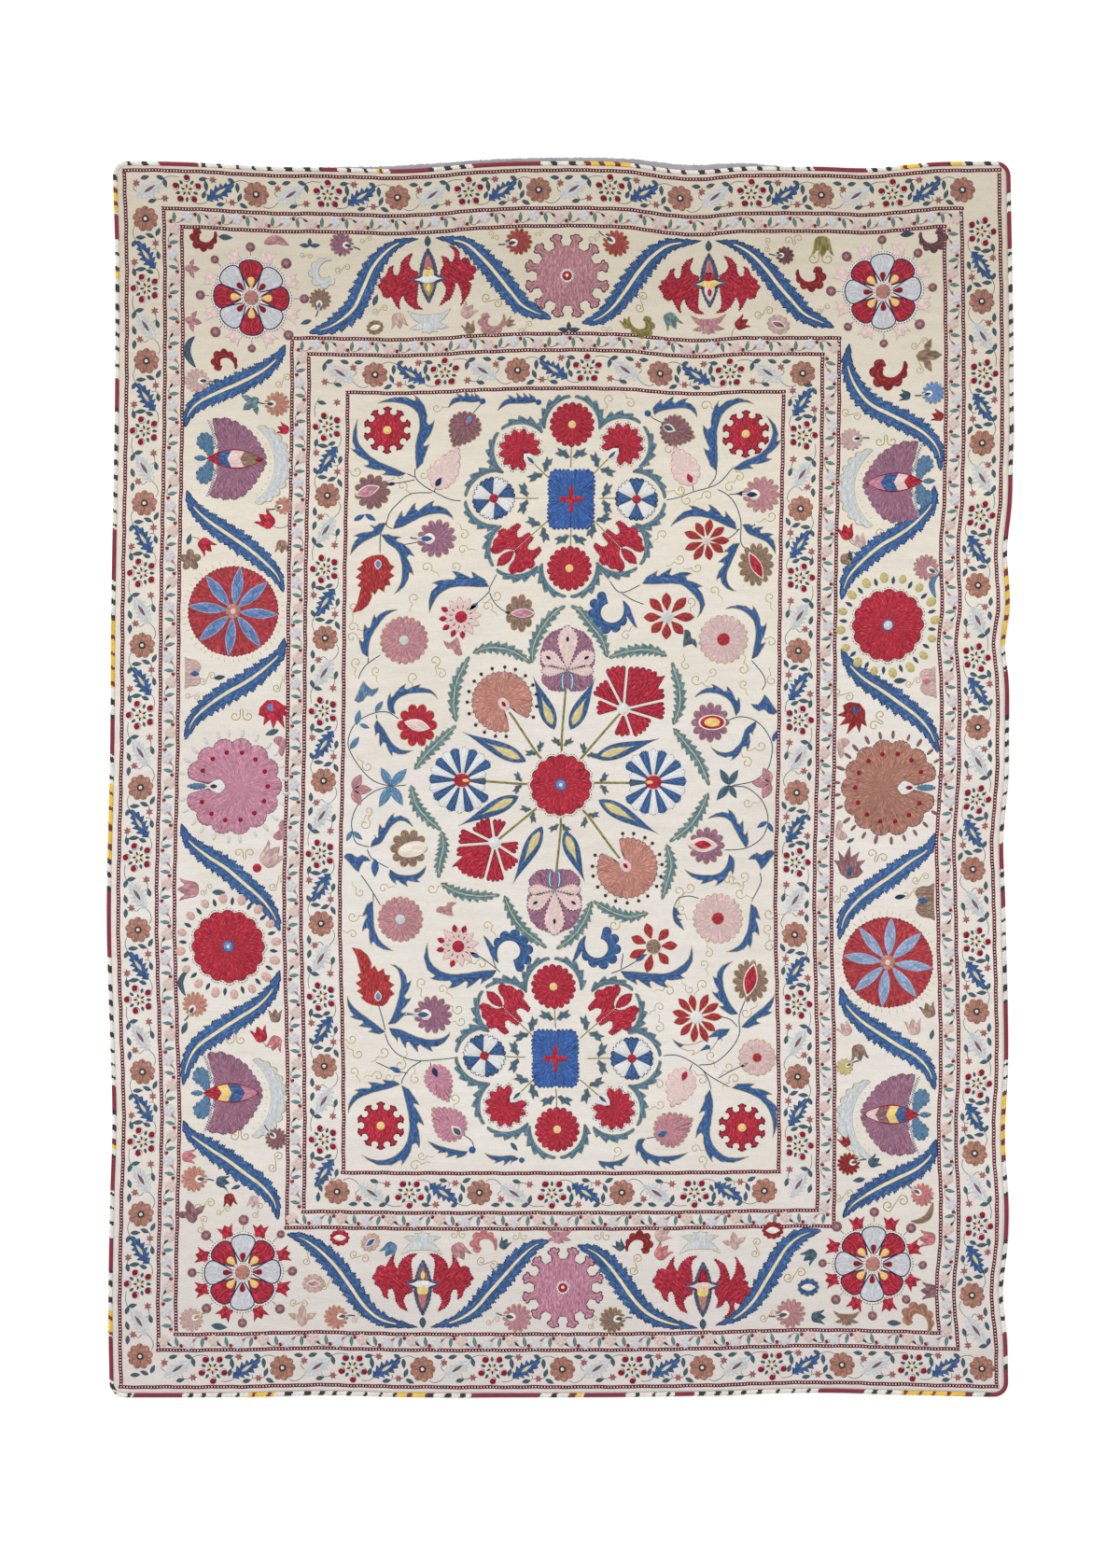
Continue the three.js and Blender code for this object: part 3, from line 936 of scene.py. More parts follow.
# Vine borders: a repeat of berry cluster, blue leaf, salmon rosette and pale leaf along a wandering vine.
# In a repeat, x counts stitches along the vine from the cluster and y counts outwards.
vine = {
    "repeat": 151.5,
    "rosetteAt": 75.0,
    "leaves": [  # x, y of the foot, the way it points, length
        (13.0, 11.5, 12, 8.5), (21.8, -0.5, 98, 11), (17.0, -8.5, 70, 8), (44.5, 14.5, -28, 8),
        (54.6, 10.8, -86, 10), (31.6, -14.6, 12, 8.5), (55.4, -9.5, 68, 9), (56.6, -11.5, -26, 9),
        (97.5, 12.2, 176, 9), (102.8, 11.2, 16, 9), (119.8, 14.2, -18, 8.5), (128.0, 11.8, -76, 9),
        (110.2, -13.6, 14, 8.5),
    ],
    "stars": [(28.6, 12.2, 10), (49.0, -10.8, 0), (98.3, 6.6, 20), (128.7, -9.4, 5)],
    "stems": [  # points along each stem
        [(8.5, -13.5), (14.0, -14.2), (20.0, -12.6), (23.0, -9.6)],
        [(17.5, 12.0), (23.0, 13.2), (28.5, 12.4)],
        [(21.0, 10.0), (22.2, 4.0), (20.0, -2.0), (17.5, -8.0)],
        [(50.0, 9.6), (54.5, 12.2), (61.0, 13.4), (68.0, 11.0)],
        [(42.0, -6.5), (42.8, -9.8), (41.0, -13.0)],
        [(42.6, -11.0), (49.0, -10.8), (55.5, -9.6), (58.5, -4.0)],
        [(81.0, -12.6), (87.0, -15.0), (93.5, -13.2), (98.5, -8.6)],
        [(99.0, 11.6), (98.0, 6.0), (95.0, 1.0), (99.0, -3.5)],
        [(124.0, 8.8), (128.5, 12.2), (136.0, 14.4), (146.0, 13.6)],
        [(116.0, -7.4), (118.6, -11.0), (114.0, -12.8)],
        [(117.5, -11.2), (123.0, -10.8), (128.5, -9.6)],
    ],
    "sides": [  # ring, turn, outwards is left of the way, single berry outwards, line, first rosette, step,
                # rosettes, ends
        ("outer", 0, 1, 1, 208, 274.6, 151.3, 6, 140, 1052),
        ("outer", 0, 1, -1, 1464, 153.0, 149.8, 7, 170, 1072),
        ("outer", 90, 1, 1, 155, 1453.0, -152.3, 9, 1474, 216),
        ("outer", -90, 1, 1, 1047, 323.0, 152.1, 8, 226, 1450),
        ("inner", 180, -1, 1, 400, 860.0, -152.7, 4, 876, 343),
        ("inner", 0, -1, 1, 1278, 361.0, 152.6, 4, 340, 838),
        ("inner", -90, -1, 1, 350, 531.0, 152.8, 5, 424, 1264),
        ("inner", 90, -1, 1, 858, 1153.5, -152.1, 5, 1280, 412),
    ],
    "rings": {  # middle of the border: half width, half height, right, down
        "outer": (448.5, 631.75, 0.0, -0.5),
        "inner": (254.15, 441.4, 1.5, 1.9),
    },
}


def berryCluster(work, spot, flip):
    here = dict(spot, mirror=spot["mirror"] * flip)
    for berry in range(5):
        angle = math.radians(90 + berry * 72)
        cosine, sine = math.cos(angle), math.sin(angle)
        disc(work, here, 12.2 * cosine, 12.2 * sine, 4.1, "teal", steps=14)
        disc(work, here, 12.4 * cosine - 0.3, 12.4 * sine - 0.3, 3.5, "blush", level=1, steps=12)
        disc(work, here, 12.8 * cosine + 0.2, 12.8 * sine + 0.5, 3.3, "deepRed", level=2, steps=12)
        between = angle + math.radians(36)
        cosine, sine = math.cos(between), math.sin(between)
        smallLeaf(work, here, 7.2 * cosine, 7.2 * sine, math.degrees(between), 6.0, 3.6, "teal")
        smallLeaf(work, here, 1.4 * cosine, 1.4 * sine, math.degrees(between), 4.6, 2.4, "straw")
        cosine, sine = math.cos(angle), math.sin(angle)
        smallLeaf(work, here, 2.0 * cosine, 2.0 * sine, math.degrees(angle), 5.0, 2.3, "brown")


def toothedLeaf(work, spot, length, width, teeth, tint, edge, bar, barTint):
    share = np.linspace(0, 1, teeth * 6 + 1)
    saw = np.mod(share * teeth, 1.0)
    half = width / 2 * np.sin(math.pi * share ** 0.92) ** 0.7 * (0.5 + 0.7 * saw)
    line = np.stack([(share - 0.5) * length, 0.6 * np.sin(2 * math.pi * share)], axis=1)
    ribbon(work, spot, line, half + 0.05, thread[tint], edge=thread[edge])
    bead = shifted(spot, -bar * 0.45, 0.2)
    fillShape(work, bead, leafOutline(bar, bar * 0.25), thread[barTint], level=1, flow=0)


def salmonRosette(work, spot):
    fillShape(work, spot, lobed(9, 14.0, 0.17, 8, 0.8), thread["clay"], rim=thread["clay"] * 0.7)
    disc(work, spot, 0, 0, 5.0, "taupe", level=1, steps=20)
    disc(work, spot, 0, 0, 4.0, "brown", level=2, steps=18)
    disc(work, spot, 0, 0, 2.1, "white", level=3, steps=12)


def vineRepeat(work, spot, flip, shown):
    if shown(0):
        berryCluster(work, spot, flip)
    if shown(36):
        toothedLeaf(work, shifted(spot, 36.4, -0.4, 34), 36, 17, 6, "royal", "navy", 14, "straw")
    if shown(75):
        salmonRosette(work, shifted(spot, 75.0, -0.6))
    if shown(112):
        toothedLeaf(work, shifted(spot, 112.2, 0.0, 34), 34, 17, 7, "paleBlue", "paleBlue", 15, "plum")
    for points in vine["stems"]:
        if shown(points[0][0]) and shown(points[-1][0]):
            stem(work, spot, points, "teal", 0.5)
    for x, y, turn, length in vine["leaves"]:
        if shown(x) and shown(x + length * math.cos(math.radians(turn))):
            smallLeaf(work, spot, x, y, turn, length * 1.15, 5.0, "teal")
    for x, y, turn in vine["stars"]:
        if shown(x):
            fillShape(work, shifted(spot, x, y, turn), starOutline(6, 4.6, 2.2), thread["rose"] * 0.75,
                      rimWidth=0.4)


def vineSide(works, ring, turn, mirror, flip, line, first, step, count, start, end):
    level = turn in (0, 180)
    halfWidth, halfHeight, right, down = vine["rings"][ring]
    mm = chart["stitchMm"]
    if level:
        fixed = (halfHeight if line < chart["middleDown"] else -halfHeight) - down
    else:
        fixed = (halfWidth if line > chart["middleAcross"] else -halfWidth) + right
    way = 1 if step > 0 else -1
    for unit in range(-1, count + 1):
        rosette = first + unit * step
        x = (rosette if level else line) - chart["middleAcross"]
        y = chart["middleDown"] - (line if level else rosette)
        across, up = flatPlace(x * mm, y * mm)
        base = spotFlat(across if level else fixed * mm, fixed * mm if level else up, math.radians(turn),
                        1, mirror)
        spot = shifted(base, -vine["rosetteAt"], 0)

        def shown(x, rosette=rosette):
            at = rosette + way * (x - vine["rosetteAt"])
            return min(start, end) <= at <= max(start, end)

        vineRepeat(works[ring], spot, flip, shown)


# Guard strips between pairs of lines: buds, leaves and pale blossoms, turned in and out by turns
guard = {
    "repeat": 53.8,
    "strips": {  # half width, half height, right, down
        "outer": (418.5, 602.75, 0.0, 0.25),
        "inner": (284.0, 470.9, 1.5, 2.1),
    },
}


def guardHalf(work, spot, blossom, tip, rng):
    smallLeaf(work, spot, 0.0, -5.2, 84 + rng.uniform(-8, 6), 11.5, 4.4, "seaGreen")
    stem(work, spot, [(-0.5, -5.0), (-3.0, -6.0), (-6.0, -4.8), (-7.0, -2.6)], "deepRed", 0.4)
    disc(work, spot, -3.6, -3.7, 2.1, "rust", steps=10)
    disc(work, spot, -3.9, -3.5, 0.8, "crimson", level=1, steps=8)
    stem(work, spot, [(0.5, -5.0), (4.5, -5.2), (8.0, -3.2), (11.0, -0.8)], "darkTeal", 0.45)
    ribbon(work, spot, smoothLine([(7.0, -3.9), (9.5, -2.0), (12.0, 0.3)], 4), np.array(
        [0.5, 0.8, 1.0, 1.2, 1.3, 1.4, 1.4, 1.2, 0.6]), thread[tip], level=1)
    here = shifted(spot, 14.6, 1.4, rng.uniform(-20, 20))
    fillShape(work, here, lobed(5, 7.2, 0.25, 8, 0.7, squash=0.95), thread[blossom],
              rim=thread[blossom] * 0.92)
    for petal in range(5):
        angle = petal * 72
        cosine, sine = math.cos(math.radians(angle)), math.sin(math.radians(angle))
        disc(work, here, 3.9 * cosine, 3.7 * sine, 1.9, blossom, level=1, steps=8, rim="cream")


def guardStrip(work, rng, halfWidth, halfHeight, right, down):
    mm = chart["stitchMm"]
    for quarter in range(4):
        level = quarter % 2 == 0
        reach = halfWidth + 7 if level else halfHeight - 9
        offset = halfHeight if level else halfWidth
        halves = 2 * int(round(2 * reach / guard["repeat"]))
        pitch = 2 * reach / halves
        strip = spotFlat(right * mm, -down * mm, quarter * math.pi / 2)
        for half in range(halves):
            x = -reach + (half + 0.32) * pitch
            outwards = half % 2
            here = shifted(strip, x, offset)
            if outwards:
                here["mirror"] = -here["mirror"]
            guardHalf(work, here, "shell" if outwards else "frost", "darkTeal" if outwards else "mauve",
                      rng)


rng = np.random.default_rng(7)
lineWork = newStitching()
for line in dottedLines["lines"]:
    dottedLine(lineWork, rng, *line)
vineWorks = {"outer": newStitching(), "inner": newStitching()}
for side in vine["sides"]:
    vineSide(vineWorks, *side)
guardWorks = {}
for ring, strip in guard["strips"].items():
    guardWorks[ring] = newStitching()
    guardStrip(guardWorks[ring], rng, *strip)
embroidery = [sewn("dottedLines", lineWork, 204)]
embroidery += [sewn(ring + "Vine", work) for ring, work in vineWorks.items()]
embroidery += [sewn(ring + "Guard", work) for ring, work in guardWorks.items()]


# Motifs shared by the wide border and the field, drawn in stitches with x right and y up
def placesOf(text):
    return np.array([[float(count) for count in place.split(",")] for place in text.split()])


def mirrored(half):  # closed outline from its right half, bottom to top
    half = np.asarray(half, float)
    return np.concatenate([half, (half * (-1, 1))[-2:0:-1]])


def doubled(upper):  # closed outline from its upper half, left to right
    upper = np.asarray(upper, float)
    return np.concatenate([upper, (upper * (1, -1))[-2:0:-1]])


def resampled(line, count):
    distance = along(line)
    steps = np.linspace(0, distance[-1], count)
    return np.stack([np.interp(steps, distance, line[:, k]) for k in range(2)], axis=1)


def looped(outline):
    return np.concatenate([outline, outline[:1]])


def pushed(outline, reach):  # an outline moved outwards by a distance at each point
    after, before = np.roll(outline, -1, axis=0), np.roll(outline, 1, axis=0)
    step = after - before
    step = step / np.maximum(np.linalg.norm(step, axis=1, keepdims=True), 1e-6)
    turned = np.sign((outline[:, 0] * after[:, 1] - outline[:, 1] * after[:, 0]).sum())
    outwards = np.stack([step[:, 1], -step[:, 0]], axis=1)
    return outline + outwards * np.broadcast_to(turned * reach, len(step))[:, None]


# outline with small uneven teeth, on lobes or not
def shaggy(rng, outline, count, depth, lobes=0, swell=0.0):
    fine = resampled(looped(np.asarray(outline, float)), count * 2 + 1)[:-1]
    step = np.arange(count * 2)
    reach = depth * (step % 2) * rng.uniform(0.4, 1.0, count * 2)
    return pushed(fine, reach + swell * np.abs(np.sin(step / (count * 2) * math.pi * lobes)) ** 0.6)


# saw teeth of uneven length along an edge, with fine ones on them
def ragged(rng, count, pitch, deep, fine):
    edge = np.zeros(count)
    start = 0
    while start < count:
        length = max(2, int(pitch * rng.uniform(0.65, 1.35)))
        tooth = deep * rng.uniform(0.6, 1.15) * np.linspace(0, 1, length)
        edge[start:start + length] = tooth[:count - start]
        start += length
    return edge + fine * (np.arange(count) % 2) * rng.uniform(0.5, 1.0, count)


def dashed(work, spot, line, dashes, width, first, second, level=0):
    fine = resampled(np.asarray(line, float), 2 * dashes + 1)
    tints = np.where((np.arange(2 * dashes) % 2 == 0)[:, None], thread[first], thread[second])
    ribbon(work, spot, fine, width, tints[None], level=level, height=0.7, blunt=False)


def lens(length, width, steps=13):  # pointed at both ends, along x about the middle
    share = np.linspace(0, 1, steps)
    return doubled(np.stack([(share - 0.5) * length, width / 2 * np.sin(math.pi * share) ** 0.85], axis=1))


def spiral(centre, start, end, fromTurn, toTurn, steps=14):
    share = np.linspace(0, 1, steps)
    angle = np.radians(fromTurn + (toTurn - fromTurn) * share)
    radius = start + (end - start) * share
    return np.asarray(centre) + polar(radius, angle)


def scroll(work, spot, tint="gold", width=0.62):  # a tendril with a curl at each end
    upper = spiral((-4.2, 3.4), 0.9, 4.2, -200, 230, 16)
    lower = spiral((4.4, -3.8), 4.2, 0.9, 50, -380, 16)
    ribbon(work, spot, np.concatenate([upper, lower]), width, thread[tint], height=0.6)


def forked(work, spot, tint="gold", width=0.62):  # two curls from one stalk
    for side in (1, -1):
        curled = spiral((5.2, 0.0), 4.2, 0.9, 180, -200, 15)
        arm = np.concatenate([[(0.0, -7.0), (1.2, -3.5)], curled]) * (side, 1)
        ribbon(work, spot, arm, width, thread[tint], height=0.6)


def drawn(work, spot, outline, tint, rim=None, level=0, flow=90, rimWidth=0.8):
    fillAny(work, spot, outline, thread[tint], level, thread[tint] * 0.8 if rim is None else thread[rim],
            rimWidth, flow)


def tulip(work, spot, tint, rim=None):
    if tint in ("crimson", "rust", "plum"):
        stem(work, spot, [(0, -6.5), (1.5, -11), (5, -14.5), (10, -16)], "darkTeal", 0.45)
    drawn(work, spot, mirrored([(0, -7), (3.4, -6.6), (5.6, -4.2), (6.3, -0.5), (6.9, 3), (8.4, 7.4),
                                (5.6, 6.2), (4.1, 4), (3.4, 3.6), (2.2, 6), (0, 9)]), tint, rim)


def lily(work, spot, tint, rim=None):  # three petals apart, from a stem below
    drawn(work, spot, mirrored([(0, -8), (3.2, -6), (4.6, -2.6), (8.4, -1.6), (12, 3.4), (6.4, 3.6),
                                (3.4, 2.4), (3.6, 6), (0, 11)]), tint, rim)


def bell(work, spot, tint, rim=None):
    drawn(work, spot, placesOf("-1,-12 -4,-6 -5.5,1 -8,11 -3,13 2,10 5,4 11,4 15,-1 16.5,-7 9,-4 4,-7"),
          tint, rim)


def lotus(work, spot, tint, rim="gold"):
    drawn(work, spot, mirrored([(0, -12.5), (3, -10.5), (9, -10.8), (7, -6.8), (13, -8), (21.5, -6),
                                (15, -1.8), (11, 0), (16, 3), (20, 8), (23.3, 14.4), (12, 9.6), (0, 9)]),
                                tint, rim)


def pod(work, spot, tint, rim=None):
    drawn(work, spot, smoothLine([(-13, -4), (-12, 0), (-8, 4), (-1, 6), (6, 4), (11, -1), (14, -5),
                                  (7, -5), (0, -4), (-7, -5)], 3, closed=True), tint, rim, flow=0)


def flame(work, spot, tint, core="sky"):  # fingers that point down from a blue heart
    outline = [(-9, 9), (0, 12.5), (8, 9), (12, 2), (17, -3), (11, -3), (14, -12), (7.5, -7), (4, -19),
               (1, -8.5), (-6, -15), (-5, -5.5), (-13, -8), (-9, -1), (-13, 3)]
    drawn(work, spot, outline, tint)
    fillShape(work, shifted(spot, 0, 9, -90), leafOutline(9, 6), thread[core], level=1)


def halfFlower(work, spot, tint, drop=None):  # cut off by a border on +x
    if drop is None:
        drawn(work, spot, smoothLine([(-8, 8), (-2, 11.5), (5, 9), (7, 2), (5, -9), (2, -13), (-2, -7),
                                      (-1, -1), (-6, 3)], 3,
                                     closed=True), tint)
        return
    lobes = placesOf("-7,0 -10,3 -12,8 -9,13 -4,15 2,15 8,18 7.5,8 7.5,-9 8,-20 3,-18 -4,-17 -9,-14"
                     " -12,-9 -10,-3")
    drawn(work, spot, smoothLine(lobes, 3, closed=True), tint, flow=0)
    fillShape(work, shifted(spot, -4, 0), lens(11.5, 7), thread[drop], level=1)


def sickle(work, spot, tint, rim=None):  # a curved leaf
    line = smoothLine([(4, 17), (-2, 10), (-4.5, 0), (-1, -9), (5, -17)], 6)
    half = 3.9 * np.sin(math.pi * np.linspace(0, 1, len(line))) ** 0.7 + 0.1
    ribbon(work, spot, line, half, thread[tint], edge=thread[tint if rim is None else rim])


def sprig(work, spot, tint, rim=None):
    for turn, length in ((6, 13), (90, 10), (174, 13)):
        smallLeaf(work, spot, 0, -2, turn, length, 5.6, tint)


def curl(work, spot, tint, rim=None):  # a comma with a scalloped back, its thick head on the right
    line = resampled(smoothLine([(-11, 9), (-10.5, 2), (-6, -4), (0, -6), (6, -4), (8.5, 1), (7, 6.5),
                                 (3, 8.5)], 7), 61)
    share = np.linspace(0, 1, 61)
    swell = 0.9 + 3.4 * np.clip(share * 2.0, 0, 1) ** 0.9 * np.clip((1.02 - share) * 7, 0.55, 1)
    outside = swell * (0.6 + 0.85 * np.abs(np.sin(share * math.pi * 7)) ** 0.7)
    ribbon(work, spot, line, np.stack([outside, swell * 0.9], axis=1), thread[tint],
           edge=thread[tint] * 0.8 if rim is None else thread[rim], edgeWidth=0.7)


def keyhole(radius):  # the pale opening that a drop hangs in, from -x
    return smoothLine(np.array([(-1.02, 0.1), (-0.66, 0.13), (-0.52, 0.25), (-0.3, 0.27), (-0.12, 0.13),
                                (-0.08, 0), (-0.12, -0.13), (-0.3, -0.27), (-0.52, -0.25), (-0.66, -0.13),
                                (-1.02, -0.1)]) * radius, 3)


def mum(work, spot, tint, rim="gold", radius=13.0, petals=13, drop="darkTeal"):
    body = lobed(petals, radius, 0.26, 8, 0.7, turn=180 + 180 / petals)
    fillShape(work, spot, body, thread[tint], rim=thread[rim], rimWidth=0.9)
    fillAny(work, spot, keyhole(radius), thread["cream"], level=1, rimWidth=0.4)
    stem(work, spot, [(-radius - 7, 1.6), (-radius - 2, 0.4), (-radius * 0.6, 0)], drop, 0.6, level=2)
    fillShape(work, shifted(spot, -radius * 0.82, 0), leafOutline(radius * 0.64, radius * 0.3, 9),
              thread[drop], level=2)


def eyeFlower(work, spot, tint, core="cream", rim="gold", radius=12.0, petals=11):
    fillShape(work, spot, lobed(petals, 1.0, 0.18, 7, 0.7) * (radius, radius * 0.84), thread[tint],
              rim=thread[rim], rimWidth=0.9)
    fillShape(work, spot, lens(radius * 1.3, radius * 0.62), thread["cream"], level=1, flow=0)
    fillShape(work, spot, lens(radius * 1.1, radius * 0.44), thread[core], level=2, flow=0)


homeSpot = spotFlat(0, 0)


def chartLine(points):  # chart places to stitches round the middle of the flat cloth
    points = np.asarray(points, float)
    mm = chart["stitchMm"]
    across, up = flatPlace((points[:, 0] - chart["middleAcross"]) * mm,
                           (chart["middleDown"] - points[:, 1]) * mm)
    return np.stack([across, up], axis=1) / mm


def longLeaf(work, rng, text, tail):
    line = smoothLine(chartLine(placesOf(text)), 8)
    line = resampled(line, int(along(line)[-1] / 1.35))
    count = len(line)
    share = np.linspace(0, 1, count)
    body = np.sin(math.pi * share ** tail) ** 0.62
    toothed = np.clip(body * 1.15, 0.1, 1.0)
    halves = [body * 9.4 + ragged(rng, count, 7.5, 3.6, 2.0) * toothed for side in range(2)]
    streak = thread["royal"] * rng.uniform(1.0, 1.15)
    ribbon(work, homeSpot, line, np.maximum(np.stack(halves, axis=1), 0.15), streak,
           edge=thread["navy"] * 0.8, edgeWidth=1.2)
    inside = line[int(count * 0.13):int(count * 0.93)]
    half = 2.15 * np.sin(math.pi * (0.1 + 0.86 * np.linspace(0, 1, len(inside)))) ** 0.6
    ribbon(work, homeSpot, inside, half, thread["straw"] * 0.4 + thread["cream"] * 0.6, level=1,
           edge=thread["olive"], edgeWidth=0.5)


cornerTulip = mirrored([(0, -5.5), (6.5, -7.5), (5.6, -1), (9, 7.5), (3.6, 4.6), (0, 8.5)])


def cornerRosette(work, spot, rng, crimsonFirst, starTint):
    fillShape(work, spot, lobed(8, 44.9, 0.12, 12, 0.7), thread["cream"], rimWidth=1.0)
    dashed(work, spot, looped(lobed(8, 43.6, 0.125, 12, 0.7)), 92, 0.6, "navy", "white", level=1)
    petal = doubled([(8.5, 0), (9, 2.0), (14, 5.4), (20, 8.8), (26, 12.0), (31, 14.0), (35.6, 13.3),
                     (39.4, 9.8), (41.3, 5.0), (41.9, 0)])
    drop = smoothLine([(10, 0), (13, 1.8), (18, 4.0), (21.6, 3.0), (22.6, 0), (21.6, -3.0), (18, -4.0),
                       (13, -1.8)], 3,
                      closed=True)
    for k in range(8):
        here = shifted(spot, 0, 0, 45 * k)
        crimson = (k % 2 == 0) == crimsonFirst
        fillAny(work, here, petal, thread["crimson" if crimson else "silver"], level=1, rim=thread["navy"],
                rimWidth=1.7)
        fillShape(work, here, drop * (0.95, 0.8) if not crimson else drop,
                  thread["yellow" if crimson else "deepRed"], level=2)
        reach, size = 54.5 + rng.uniform(-1.5, 2.6), rng.uniform(4.7, 6.2)
        stem(work, here, [(45, 0), (49, 0.2), (reach - 4, 0)], "darkTeal", 0.5)
        disc(work, here, reach, 0, size, "plum", steps=20, rim="mauve")
        disc(work, here, reach, 0, size * 0.5, "mauve", level=1, steps=14, rim="plum")
        drawn(work, shifted(shifted(here, 0, 0, 22.5), 46.5, 0, rng.uniform(-108, -72)), cornerTulip,
              starTint)
    disc(work, spot, 0, 0, 11.2, "white", level=2, steps=24)
    dashed(work, spot, looped(lobed(1, 9.9, 0.0, 40)), 18, 0.6, "navy", "white", level=3)
    disc(work, spot, 0, 0, 8.4, "salmon", level=3, steps=22)


def cogRosette(work, spot, tint, knobs, radius, heart, ringed, edge="brown"):
    side = np.array([(0.64, 0.13), (0.7, 0.11), (0.76, 0.095), (0.83, 0.09), (0.86, 0.135), (0.905, 0.155),
                     (0.95, 0.14), (0.945, 0.085), (0.99, 0.065), (1.0, 0.0)])
    knob = np.concatenate([side, (side * (1, -1))[-2::-1]]) * (radius, radius * 12 / knobs)
    edges = np.tile(thread[edge], (len(knob), 1))
    edges[[0, 1, -2, -1]] = thread[tint]
    fillShape(work, spot, lobed(1, radius * 0.7, 0.0, 48), thread[tint], rim=thread[edge], rimWidth=1.0,
              flow=90)
    for k in range(knobs):
        fillAny(work, shifted(spot, 0, 0, (k + 0.5) * 360 / knobs), knob, thread[tint], level=0.1,
                rim=edges, rimWidth=1.2)
    if ringed:
        disc(work, spot, 0, 0, radius * 0.165, "white", level=1, steps=24)
        dashed(work, spot, looped(lobed(1, radius * 0.145, 0.0, 36)), 14, 0.5, "navy", "white", level=2)
    disc(work, spot, 0, 0, radius * (0.12 if ringed else 0.17), heart, level=2, steps=20)
    # painted highlight: a small cream spot just above the middle of the heart
    disc(work, spot, 0, 0.4, radius * 0.045, "cream", level=3, steps=10)


lilyWings = {  # fingers above and below a scalloped end, from the heart outwards
    "tallInside": "11,7 18,10 21,16 19,22 16,28 24,24 29,17 30,9 33,3 37,5 38,10 37,15 42,12 44,6 47,2"
                  " 52,-1 50,-4 55,-7 52,-11 50,-14 49,-19 44,-21 40,-19 38,-23 35,-29 31,-34 32,-26"
                  " 30,-20 27,-17 26,-22 22,-28 15,-33 6,-34 12,-29 13,-22 12,-14 11,-5",
    "shortInside": "13,7 17,13 16,18 14,23 20,21 24,15 27,16 29,22 28,28 22,34 30,31 34,25 33,20 35,16"
                   " 38,19 43,18 45,14 44,11 50,9 52,5 50,2 47,0 49,-4 45,-6 42,-6 46,-10 43,-20 34,-33"
                   " 36,-26 35,-16 32,-9 29,-6 28,-13 23,-24 11,-31 18,-20 19,-12 16,-6 13,-4",
}


def lilyUnit(work, spot, rng, wings, bands):
    for side, wing in zip((-1, 1), wings.split()):
        outline = shaggy(rng, placesOf(lilyWings[wing]), 84, 1.5) * (side, 1)
        fillAny(work, spot, outline, thread["crimson"], rim=thread["wine"], rimWidth=0.8,
                flow=90 + 50 * side)
    fillShape(work, shifted(spot, 0, 2.5, 90), shaggy(rng, lens(60, 19), 30, 1.1), thread["slate"], level=1)
    fillShape(work, shifted(spot, 0, -1.5), lens(38, 12), thread["slate"], level=1)
    parts = [
        [(0, 8), (4.6, 9), (4.4, 14), (2.4, 22), (0, 26)], [(0, 1), (6, 2), (6, 7), (3.6, 11), (0, 12.5)],
        [(0, -6), (6, -5), (9, -3), (15, -1.5), (9, 0.5), (5, 3), (0, 2)],
        [(0, -21), (3, -17), (5.4, -11), (5.8, -6), (3.4, -4), (0, -5)],
        [(0, -16), (2.2, -13), (2.4, -9), (0, -6)],
    ]
    for layer, (part, tint) in enumerate(zip(parts, bands)):
        fillShape(work, spot, mirrored(part), thread[tint], level=2 + (layer == 4), flow=90, rimWidth=0.4)
    fillShape(work, shifted(spot, 0, 33.5, 90), leafOutline(13, 7.5, 9), thread["teal"],
              rim=thread["darkTeal"])


